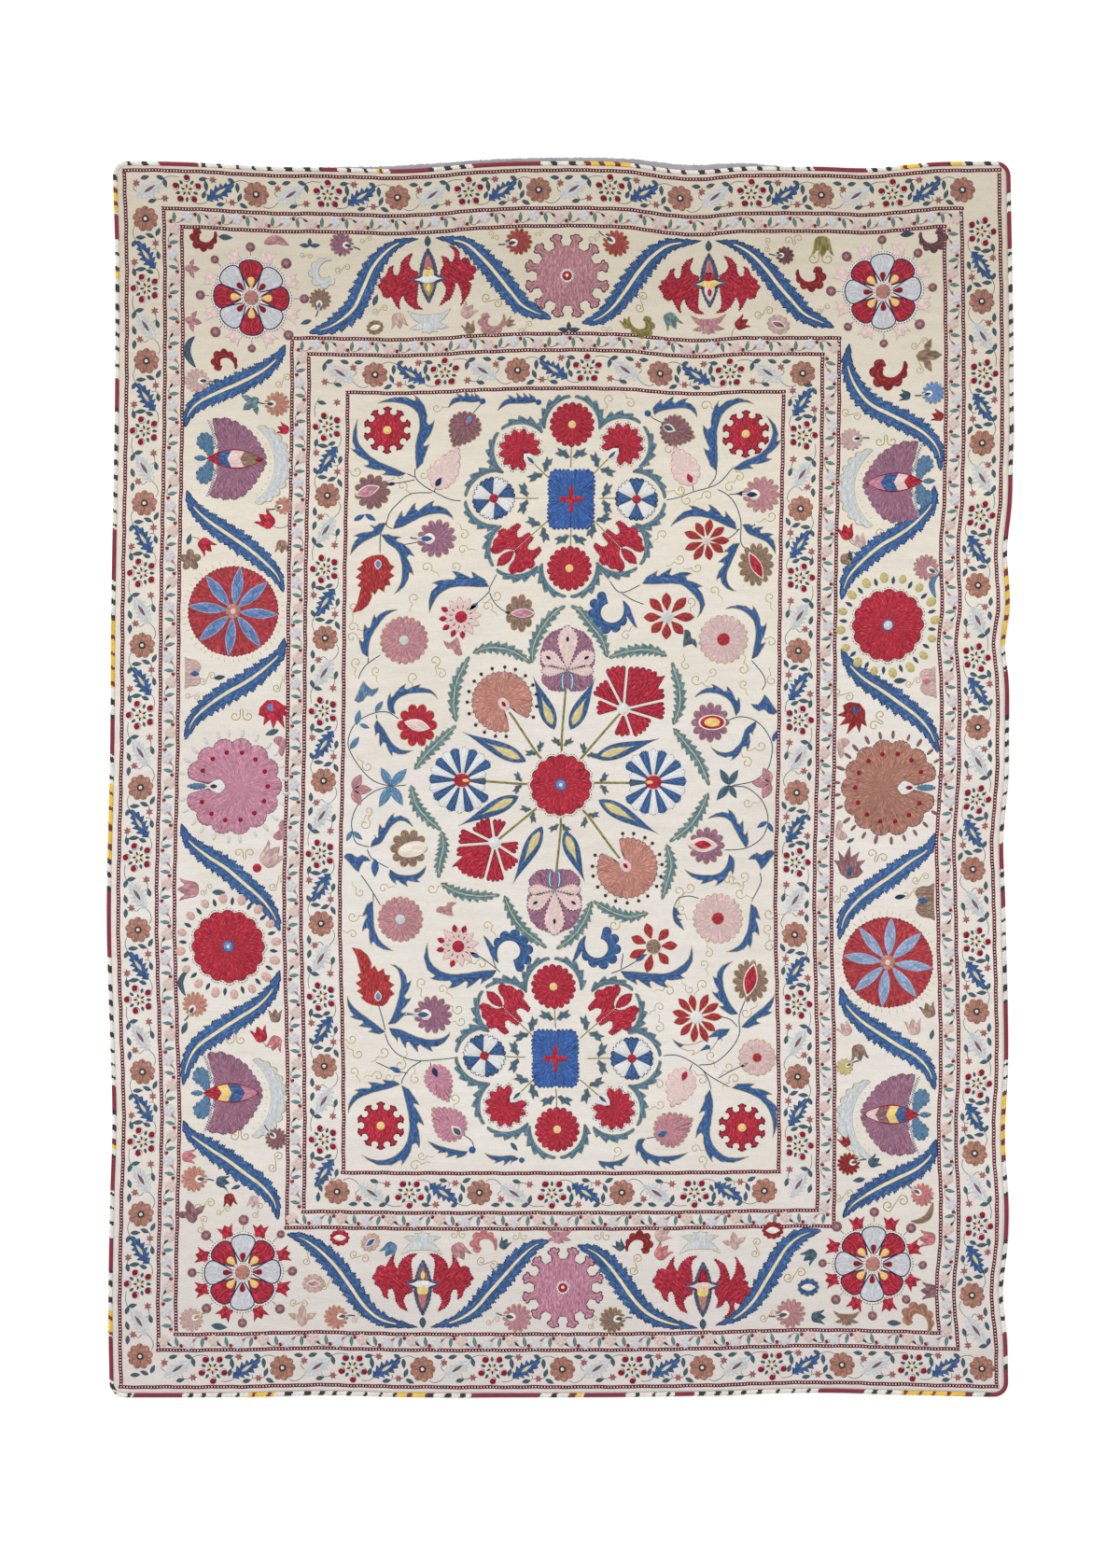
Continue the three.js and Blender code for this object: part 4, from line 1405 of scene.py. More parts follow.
def palmette(work, spot, rng, bands, chevron):
    body = placesOf("-28,42 -14,44 -4,41 6,36 14,30 20,22 26,13 30,4 30,-6 25,-15 21,-23 14,-32 6,-40"
                    " -6,-44 -20,-43 -32,-39 -26,-30 -23,-20 -22,-8 -21,8 -23,20 -26,32")
    violet = thread["violet"]
    fan = smoothLine(body, 4, closed=True) + (2, 0)
    turns, order = np.unique(np.arctan2(fan[:, 1], fan[:, 0]), return_index=True)
    angle = np.arange(200) / 200 * 2 * math.pi - math.pi
    reach = np.interp(angle, turns, np.linalg.norm(fan[order], axis=1), period=2 * math.pi)
    uneven = rng.uniform(0.3, 1.6, 200) * (np.arange(200) % 2)
    reach += 2.6 * np.abs(np.sin(angle * 13)) ** 0.6 - 2.0 + uneven
    fillShape(work, shifted(spot, -2, 0), polar(reach, angle), violet,
              centre=(0, 0), rim=violet * 0.7, rimWidth=1.3)
    fillShape(work, shifted(spot, -3.0, 0), lens(62, 21.5, 19), thread["deepRed"], level=1)
    stops = np.interp(np.linspace(0, 4, len(bands) + 1), range(5), [-33.5, -18.0, -7.0, 7.0, 22.5])
    for tint, left, right in zip(bands, stops[:-1], stops[1:]):
        high, middle, low = [9.4 * math.sin(math.pi * min(max((x + 34) / 62, 0.0), 1.0)) ** 0.85
                             for x in (left, (left + right) / 2, right)]
        upper = [(max(left + chevron, -33.5), 0), (left, high), ((left + right) / 2, middle), (right, low),
                 (min(right + chevron, 25.5), 0)]
        fillAny(work, spot, doubled(upper), thread[tint], level=2, rimWidth=0.4)
    palm = placesOf("-29,4 -27,10 -28,17 -30,23 -34,26 -38,26 -42,22 -43,16 -40,12 -35,9 -31,4")
    for side in (1, -1):
        fillShape(work, spot, shaggy(rng, palm * (1, side), 36, 0.9, 11, 2.0), thread["steel"],
                  centre=(-33, 17 * side), rim=thread["navy"] * 0.6 + thread["steel"] * 0.4)
        seam = smoothLine(np.array([(-19, 9), (-23.5, 18), (-25.5, 29), (-30, 41)]) * (1, side), 6)
        dashed(work, spot, seam - (1.2, 0), 13, 0.5, "slate", "white", level=1)
        dashed(work, spot, seam - (2.8, 0), 13, 0.5, "white", "slate", level=1)
    fillShape(work, shifted(spot, -40, 0), shaggy(rng, lens(15, 6), 9, 0.8), thread["steel"])
    share = np.linspace(0, 1, 71)
    angle = np.radians(53 - 108 * share)
    arc = np.stack([np.cos(angle), np.sin(angle)], axis=1)
    inner = np.array([-11, -5]) + 51 * arc
    scalloped = 0.72 + 0.32 * np.abs(np.sin(share * math.pi * 11)) ** 0.7
    reach = 17.5 * np.sin(math.pi * share) ** 0.55 * scalloped + 0.1
    ribbon(work, spot, inner, np.stack([np.full(71, 0.6), reach], axis=1), thread["paleBlue"],
           edge=thread["gold"], edgeWidth=1.2)
    for k in range(4, 68, 6):
        stem(work, spot, [inner[k] - 3.0 * arc[k], inner[k] - 6.5 * arc[k]], "gold", 0.5, 2)


def daisyRound(work, spot, rng, petalTint):
    red = thread["crimson"] * 0.55 + thread["fadedRed"] * 0.42
    fillShape(work, spot, shaggy(rng, lobed(1, 48.0, 0.0, 60), 66, 1.9), red, rim=red * 0.55, rimWidth=1.0)
    for k in range(8):
        here = shifted(spot, 0, 0, 84 + 45 * k + rng.uniform(-3, 3))
        fillAny(work, shifted(here, 27.2, rng.uniform(-0.8, 0.8)), lens(42.5, rng.uniform(10.8, 12.8), 17),
                thread[petalTint] * 0.87, level=1, rim=thread["ice"], rimWidth=1.0)
    disc(work, spot, 0, 0, 8.2, "salmon", level=2, steps=22, rim="taupe")
    disc(work, spot, 0, 0, 3.5, "blush", level=3, steps=14, rim="salmon")
    for k in range(44):
        here = shifted(spot, 0, 0, k * 360 / 44 + rng.uniform(-1.5, 1.5))
        stem(work, here, [(50.4, 0), (53, 0.1), (56.0 + rng.uniform(-0.8, 0.8), 0)], "straw", 0.9, 2)


def lobedRound(work, spot, rng, radius, lobes, heart, beadTint):
    fillShape(work, spot, lobed(lobes, radius + 2.9, 0.1, 8, 0.7), thread["cream"])
    dashed(work, spot, looped(lobed(lobes, radius + 1.7, 0.1, 8, 0.7)), 76, 0.5, "navy", "white", level=1)
    fillShape(work, spot, lobed(lobes, radius, 0.11, 9, 0.6), thread["crimson"], level=1,
              rim=thread["wine"], rimWidth=0.8)
    for k in range(lobes):
        here = shifted(spot, 0, 0, (k + 0.5) * 360 / lobes)
        ribbon(work, here, [(radius * 0.62, 0), (radius * 0.75, 0.2), (radius * 0.93, 0)],
               np.array([0.1, 0.35, 0.55]), thread["wine"], level=2, height=0.2)
        there = shifted(spot, 0, 0, (k + rng.uniform(-0.2, 0.2)) * 360 / lobes)
        ribbon(work, there, [(radius * 0.25, 0), (radius * 0.45, 0), (radius * 0.8, 0)],
               np.array([0.1, 0.7, 0.1]), thread["scarlet"] * 1.25, level=2, height=0.2)
    disc(work, spot, 0, 0, 6.6, "royal", level=2, steps=20)
    disc(work, spot, 0, 0, 5.2, heart, level=3, steps=18)
    disc(work, spot, 0, 0, 2.2, "white", level=4, steps=12)
    for k in range(16 if beadTint else 0):
        here = shifted(spot, 0, 0, (k + 0.25) * 22.5)
        bead = lobed(1, rng.uniform(5.0, 6.0), 0.0, 16, squash=0.82)
        fillShape(work, shifted(here, radius + 12, 0), bead, thread[beadTint], rim=thread[beadTint] * 0.7)
        there = shifted(spot, 0, 0, (k + 0.75) * 22.5)
        smallLeaf(work, there, radius + 4.5, 0, 0, 9.5, 4.2, "darkTeal")


def notchedRound(work, spot, rng, tint, tickTint, hollow):  # the notch opens along -x
    share = np.linspace(0, 1, 151)
    angle = np.radians(189 + 342 * share)
    reach = 52.0 * (0.88 + 0.12 * np.abs(np.sin(share * math.pi * 13)) ** 0.6)
    edge = polar(reach, angle)
    mouth = doubled([(-50, 0), (-30, 3.6), (-23, 6), (-15, 6.5), (-9, 3.5), (-7.5, 0)])[1:]
    outline = pushed(np.concatenate([edge, mouth]), 0.8 * (np.arange(151 + len(mouth)) % 2))
    fillShape(work, spot, outline, thread[tint], centre=(6, 0), rim=thread["slate"] * 0.5, rimWidth=0.8)
    fillShape(work, shifted(spot, -28, 0), smoothLine([(0, 0), (7, 5.6), (14, 7), (19.5, 0), (14, -7),
                                                       (7, -5.6)], 3,
                                                     closed=True), thread["white"], level=1)
    fillShape(work, shifted(spot, -21, 0), lens(9, 5), thread["brown" if hollow else "deepRed"], level=2)
    fillShape(work, shifted(spot, -39, 0), shaggy(rng, lens(22, 6.4, 15), 13, 1.3), thread["steel"],
              rim=thread["darkTeal"])
    for k in range(13):
        turn = math.radians(207 + k * 25.5)
        disc(work, spot, 37.0 * math.cos(turn), 37.0 * math.sin(turn), 2.8, "deepRed", level=1, steps=12)
    for k in range(24):
        here = shifted(spot, 0, 0, 194 + k * (332 / 23) + rng.uniform(-2, 2))
        long = rng.uniform(8.0, 11.0)
        fillShape(work, shifted(here, 57, 0), lobed(1, long / 2, 0.0, 12, squash=0.4), thread[tickTint])
        if hollow:
            fillShape(work, shifted(here, 57, 0), lobed(1, long * 0.34, 0.0, 10, squash=0.3),
                      thread["cream"], level=1)


# The wide border, by places on the chart
longLeaves = {  # places along the middle of each leaf
    "level": [
        "449,256 432,259 416,268 400,286 389,310 378,332 356,349 331,357",
        "466,255 482,257 500,262 518,278 532,294 548,314 562,329 591,342",
        "752,258 720,262 700,274 684,292 670,312 656,330 640,342 623,346",
        "766,258 786,262 804,272 820,288 834,306 848,322 864,338 894,351",
        "448,1422 412,1415 392,1401 376,1379 360,1357 342,1339 324,1327 307,1322",
        "461,1422 488,1415 508,1403 524,1385 540,1367 556,1349 572,1335 589,1329",
        "748,1423 716,1417 694,1407 678,1391 664,1371 650,1353 636,1341 618,1334",
        "766,1420 788,1411 806,1395 820,1373 832,1353 844,1335 860,1323 880,1318",
    ],
    "upright": [
        "306,369 298,383 282,397 258,410 235,420 215,430 203,442 198,458",
        "200,525 207,542 222,557 245,573 265,587 283,602 297,617 304,635",
        "305,683 300,700 285,715 265,730 242,743 222,757 207,772 198,793",
        "194,882 202,900 222,917 242,930 262,947 280,963 293,980 300,998",
        "300,1039 292,1060 277,1077 254,1092 231,1107 211,1122 201,1140 196,1163",
        "196,1200 204,1215 224,1230 244,1243 264,1258 282,1272 294,1288 298,1307",
        "910,368 908,390 916,413 931,432 951,443 975,455 993,467 1005,483 1008,505",
        "1001,520 998,540 983,558 965,572 943,585 923,602 908,620 901,643",
        "901,695 910,712 925,727 945,740 966,755 985,770 998,787 1005,807",
        "1002,892 994,910 975,923 955,938 935,952 919,965 905,983 899,1007",
        "900,1057 907,1077 922,1093 942,1107 962,1120 982,1132 995,1147 1002,1168",
        "1003,1220 997,1238 982,1252 962,1262 942,1272 925,1282 912,1292 903,1305",
    ],
}
wideBorder = {
    "corners": [  # crimson petals upright or between, colour of the stars
        (269.4, 319.2, True, "blush"), (946, 312.5, False, "blush"), (260, 1363, False, "crimson"),
        (935, 1354, False, "crimson"),
    ],
    "lilies": [  # turned over or not, wings, bands from the tip
        (459, 298, 0, "tallInside shortInside", ("rose", "yellow", "white", "gold", "yellow")),
        (760, 303, 0, "tallInside tallInside", ("rose", "crimson", "yellow", "blush", "crimson")),
        (453, 1377, 180, "tallInside tallInside", ("rose", "yellow", "white", "plum", "yellow")),
        (753, 1379, 180, "shortInside tallInside", ("salmon", "yellow", "blush", "deepRed", "crimson")),
    ],
    "palmettes": [  # facing right or left, bands from the leafy end, slope of the bands
        (255, 492, 1, ("crimson", "royal", "blush", "taupe"), -4.5),
        (251, 1171, 1, ("crimson", "yellow", "royal", "pink"), 4.5),
        (955, 517, -1, ("crimson", "blush", "royal", "pink"), 4.5),
        (952, 1194, -1, ("crimson", "royal", "yellow", "plum", "blush"), 4.5),
    ],
    "daisies": [(250, 655, "sky"), (951, 1031, "ice")],
    "lobed": [(244.7, 1014, "sky", "rosyBead"), (951.3, 670, "paleBlue", "sand")],
    "notched": [(250, 842.5, 0, "pink", "paleBlue"), (953, 844, 180, "clay", "plum")],
    "cogs": [(607.5, 295.6, 46.3, "mauve"), (603, 1379.5, 44.8, "pink")],
}
# Motif, place, turn in degrees, size (turned over if less than 0), colour, colour of its edge or heart
smallMotifs = """
curl 219,257 0 -1.1 rust; leaf 234,254 0 16 teal; pod 296,258 0 1 mauve; sprig 332,262 0 0.9 teal;
scroll 328,274 30 0.7 gold; mum 366,262 170 13.5 violet darkTeal; scroll 392,257 60 0.7 gold;
curl 345,292 -90 1.25 paleBlue gold; scroll 367,288 60 0.9 gold; mum 343,321 80 12.5 taupe steel;
leaf 334,343 200 13 teal; eye 402,351 200 10 taupe cream; tulip 427,343 190 1.15 dusty gold;
lotus 460,346 0 1 paleBlue gold; leaf 400,328 70 14 teal; scroll 407,332 60 0.9 gold;
tulip 501,334 -40 1.1 dusty gold; tulip 503,352 20 0.95 taupe gold; curl 528,347 0 -1.1 mauve gold;
tulip 546,346 -60 0.7 taupe gold; scroll 527,322 10 1.2 gold; scroll 563,351 80 0.9 gold;
mum 556,259 10 15 fadedRed darkTeal; forked 529,253 -40 0.8 gold; forked 578,250 20 0.6 gold;
sprig 609.5,352 0 0.95 darkTeal; mum 660,261 -30 15 fadedRed teal; forked 637,255 30 0.8 gold;
scroll 687,324 110 1.2 gold; curl 686,350 0 1.1 olive gold; tulip 671,347 20 0.8 olive gold;
forked 650,353 0 0.7 gold; tulip 719,343 210 1.25 seaGreen gold; lotus 759,349 0 0.82 mauve gold;
tulip 794,347 -60 1 rust; eye 834,348 -20 13 dusty plum; scroll 818,335 60 1.1 gold;
mum 841,274 0 10.5 mulberry teal; forked 850,257 10 1.1 gold; scroll 822,263 120 0.8 gold;
tulip 881,263 180 1.5 olive gold; forked 879,277 180 1.5 gold; curl 868,299 0 1.2 rust;
scroll 882,331 70 0.8 gold; leaf 964,252 0 16 darkTeal; curl 999,258 0 1.15 mulberry;
lily 205,288 -90 0.9 mauve; lily 206,344 -100 1 mauve; sickle 205,377 0 1 teal darkTeal;
curl 241,386 180 1.05 rust; mum 211,408 180 13.5 dusty darkTeal; leaf 228,408 5 9 teal;
scroll 303,408 80 1 gold; lily 270,432 130 1.15 seaGreen darkTeal; mum 297,433 0 14 salmon darkTeal;
tulip 304,460 70 0.85 crimson; mum 304,542 20 10 salmon darkTeal; tulip 286,558 50 1.3 crimson;
tulip 302,585 180 0.95 taupe; tulip 220,584 225 1.15 crimson; leaf 201,584 75 13 teal;
star 204,600 20 1.1 taupe; half 205,722 180 0.9 dusty royal; scroll 222,727 70 1 gold;
leaf 229,727 10 13 darkTeal; scroll 206,746 30 0.8 gold; scroll 301,733 80 1.1 gold;
flame 292,763 25 1.15 crimson sky; forked 259,767 180 1.35 gold; leaf 299,782 200 16 teal;
half 300,799 0 0.9 mauve; half 300,890 180 -0.9 mauve; forked 262,914 0 1.2 gold;
tulip 290,918 -40 1.7 dusty; ball 275.5,930 0 5 crimson; scroll 297,946 80 1.1 gold;
tulip 203,953 90 1.5 mauve; scroll 221,953 80 0.8 gold; leaf 227,956 0 15 teal;
sickle 197,1053 -10 0.8 teal darkTeal; mum 209,1076 60 14 salmon darkTeal; leaf 195,1108 65 15 teal;
tulip 295,1089 0 0.95 taupe; tulip 279,1109 20 1.15 crimson; tulip 295,1117 160 1.1 rose;
forked 252,1114 180 1.2 gold; mum 296,1220 -45 12.5 plum teal; forked 257,1217 180 1.2 gold;
scroll 295,1245 100 1.2 gold; tulip 202,1239 -90 1 rose; mum 208,1263 180 14.5 salmon teal;
tulip 238,1266 -100 0.95 teal darkTeal; tulip 246,1285 190 0.95 rust; leaf 258,1270 200 11 teal;
tulip 272,1287 170 0.9 dusty dusty; scroll 239,1297 60 0.8 gold; scroll 276,1297 100 0.9 gold;
lily 205,1300 15 1.4 plum; scroll 219,1291 60 1.2 gold; scroll 217,1312 110 1 gold;
eye 364,1326 0 11 crimson white; eye 397,1331 40 11.5 dusty royal; scroll 330,1346 110 1 gold;
scroll 385,1346 20 1.1 gold; tulip 418,1338 150 1.1 steel darkTeal; lotus 452,1331 180 0.95 paleBlue gold;
forked 491,1323 180 0.9 gold; tulip 492,1340 210 1.3 mauve; curl 519,1330 180 1.1 rose gold;
tulip 540,1333 -30 0.8 teal darkTeal; scroll 522,1353 20 1.2 gold; forked 557,1325 180 0.9 gold;
lotus 599,1325 0 0.62 mauve; forked 645,1325 180 1 gold; curl 684,1331 180 -1.1 rust;
tulip 664,1335 40 0.8 teal darkTeal; scroll 681,1355 110 1.2 gold; tulip 709,1323 -60 1.1 dusty;
tulip 709,1342 -40 1.2 rose; lotus 750,1330 180 0.95 paleBlue gold; lily 787,1331 10 1.1 dusty gold;
scroll 810,1337 120 1.1 gold; eye 828,1318 180 12 rust white; eye 336,1375 180 12.5 dusty mauve;
scroll 352,1374 70 1.1 gold; lily 324,1411 0 1.3 dusty gold; scroll 320,1396 30 1 gold;
mum 360,1411 190 13.5 salmon teal; scroll 383,1411 80 0.8 gold; mum 205,1414 -150 13 dusty gold;
leaf 226,1420 -8 18 teal; mum 554,1412 -10 16 mauve teal; scroll 528,1415 60 0.8 gold;
mum 656,1414 190 14.5 taupe teal; scroll 635,1417 100 0.8 gold; mum 847,1407 10 16.5 mauve teal;
scroll 823,1410 60 1 gold; tulip 876,1411 -90 1 teal darkTeal; scroll 851,1366 60 1.3 gold;
eye 866,1379 0 12.5 royal cream; tulip 868,1345 130 1.05 teal darkTeal; lotus 907,1413 0 0.62 taupe gold;
leaf 950,1417 0 16 teal; curl 985,1411 150 1.35 clay gold; curl 953,401 0 -1.5 rust;
lily 993,381 -90 1.55 taupe gold; scroll 985,368 60 1 gold; scroll 986,391 120 1 gold;
mum 1000,421 10 13 sky darkTeal; tulip 970,424 80 0.8 darkTeal navy; tulip 1005,446 70 0.85 rust;
scroll 912,444 20 1.1 gold; mum 912,471 190 12.5 dusty navy; forked 949,473 180 1.3 gold;
forked 948,571 0 1.2 gold; tulip 907,571 20 1.15 crimson; tulip 921,580 30 1 dusty dusty;
tulip 907,599 -90 1.0 taupe; leaf 912,602 100 13 teal; mum 992,608 150 14.5 mauve teal;
sickle 1002,626 -15 0.85 steel; half 996,730 0 0.9 dusty rose; scroll 978,731 60 0.9 gold;
leaf 957,730 5 15 darkTeal; scroll 903,744 20 1.2 gold; flame 914,766 -30 1.15 rust royal;
forked 940,772 60 1.3 gold; half 903,801 0 -0.9 dusty; half 901,890 180 0.9 dusty;
flame 911,928 170 1.15 plum royal; leaf 907,903 30 10 teal; forked 940,917 -20 1.3 gold;
scroll 986,941 60 1 gold; scroll 900,958 90 1.1 gold; half 993,965 0 1.05 taupe royal;
scroll 976,957 60 1 gold; leaf 958,962 10 13 navy; tulip 995,1083 20 1.1 taupe;
tulip 979,1101 10 1.15 dusty; leaf 997,1114 75 12 teal; tulip 906,1103 40 1.0 dusty;
tulip 920,1127 190 1.2 taupe; mum 905,1143 210 9.5 sand teal; tulip 906,1223 30 0.9 rust;
mum 909,1247 200 13 rust teal; tulip 936,1245 -60 0.9 teal darkTeal; leaf 927,1263 190 14 teal;
mum 988,1280 -30 13 rose teal; scroll 959,1289 60 1.5 gold; scroll 904,1281 60 1.1 gold;
sickle 990,1301 130 0.95 taupe gold; tulip 994,1327 90 1.2 rose; tulip 996,1383 90 1.2 plum
"""


def smallMotif(work, motif, spot, size, tint, other=None):
    if motif == "mum":
        mum(work, spot, tint, "salmon" if tint in ("dusty", "sand") else "gold", size,
            11 if size < 11 else 14, other)
    elif motif == "eye":
        eyeFlower(work, spot, tint, other, "gold" if tint not in ("crimson", "rust") else "deepRed", size)
    elif motif == "leaf":
        smallLeaf(work, spot, 0, 0, 0, size, size * 0.42, tint)
    elif motif == "ball":
        disc(work, spot, 0, 0, size, tint)
    elif motif == "star":
        drawn(work, spot, lobed(5, 11.0, 0.42, 8, 0.9), tint, other)
    elif motif in ("scroll", "forked"):
        {"scroll": scroll, "forked": forked}[motif](work, spot, tint)
    else:
        shapes = {"curl": curl, "lily": lily, "lotus": lotus, "tulip": tulip, "sickle": sickle, "pod": pod,
                  "sprig": sprig, "flame": flame, "half": halfFlower}
        shapes[motif](work, spot, tint, other)


def sideOf(across, down):  # which side of the wide border a place is on
    if down < 365:
        return "top"
    if down > 1310:
        return "bottom"
    return "left" if across < chart["middleAcross"] else "right"


rng = np.random.default_rng(19)
borderWorks = {side: newStitching() for side in ("top", "left", "bottom", "right")}
for text in longLeaves["level"]:
    longLeaf(borderWorks[sideOf(*placesOf(text)[0])], rng, text, 1.25)
for text in longLeaves["upright"]:
    longLeaf(borderWorks["left" if placesOf(text)[0, 0] < 600 else "right"], rng, text, 1.0)
for across, down, *rest in wideBorder["corners"]:
    cornerRosette(borderWorks[sideOf(across, down)], spotAt(across, down), rng, *rest)
for across, down, turn, wings, bands in wideBorder["lilies"]:
    lilyUnit(borderWorks[sideOf(across, down)], spotAt(across, down, turn), rng, wings, bands)
for across, down, way, bands, slope in wideBorder["palmettes"]:
    spot = spotAt(across, down, 0 if way > 0 else 180, 1.0, way)
    palmette(borderWorks[sideOf(across, down)], spot, rng, bands, slope)
for across, down, tint in wideBorder["daisies"]:
    daisyRound(borderWorks[sideOf(across, down)], spotAt(across, down), rng, tint)
for across, down, heart, beads in wideBorder["lobed"]:
    lobedRound(borderWorks[sideOf(across, down)], spotAt(across, down), rng, 39.6, 16, heart, beads)
for across, down, turn, tint, ticks in wideBorder["notched"]:
    notchedRound(borderWorks[sideOf(across, down)], spotAt(across, down, turn), rng, tint, ticks, turn == 0)
for across, down, radius, tint in wideBorder["cogs"]:
    cogRosette(borderWorks[sideOf(across, down)], spotAt(across, down), tint, 12, radius, "crimson", True)
for row in smallMotifs.replace("\n", ";").split(";"):
    if row.strip():
        motif, place, turn, size, *tints = row.split()
        across, down = (float(count) for count in place.split(","))
        size = float(size)
        scaled = motif not in ("mum", "eye", "leaf", "ball")
        spot = spotAt(across, down, float(turn), abs(size) if scaled else 1.0)
        if size < 0:
            spot.update(turn=spot["turn"] + math.pi, mirror=-1)
        smallMotif(borderWorks[sideOf(across, down)], motif, spot, size, *tints)
embroidery += [sewn(side + "Border", work) for side, work in borderWorks.items()]


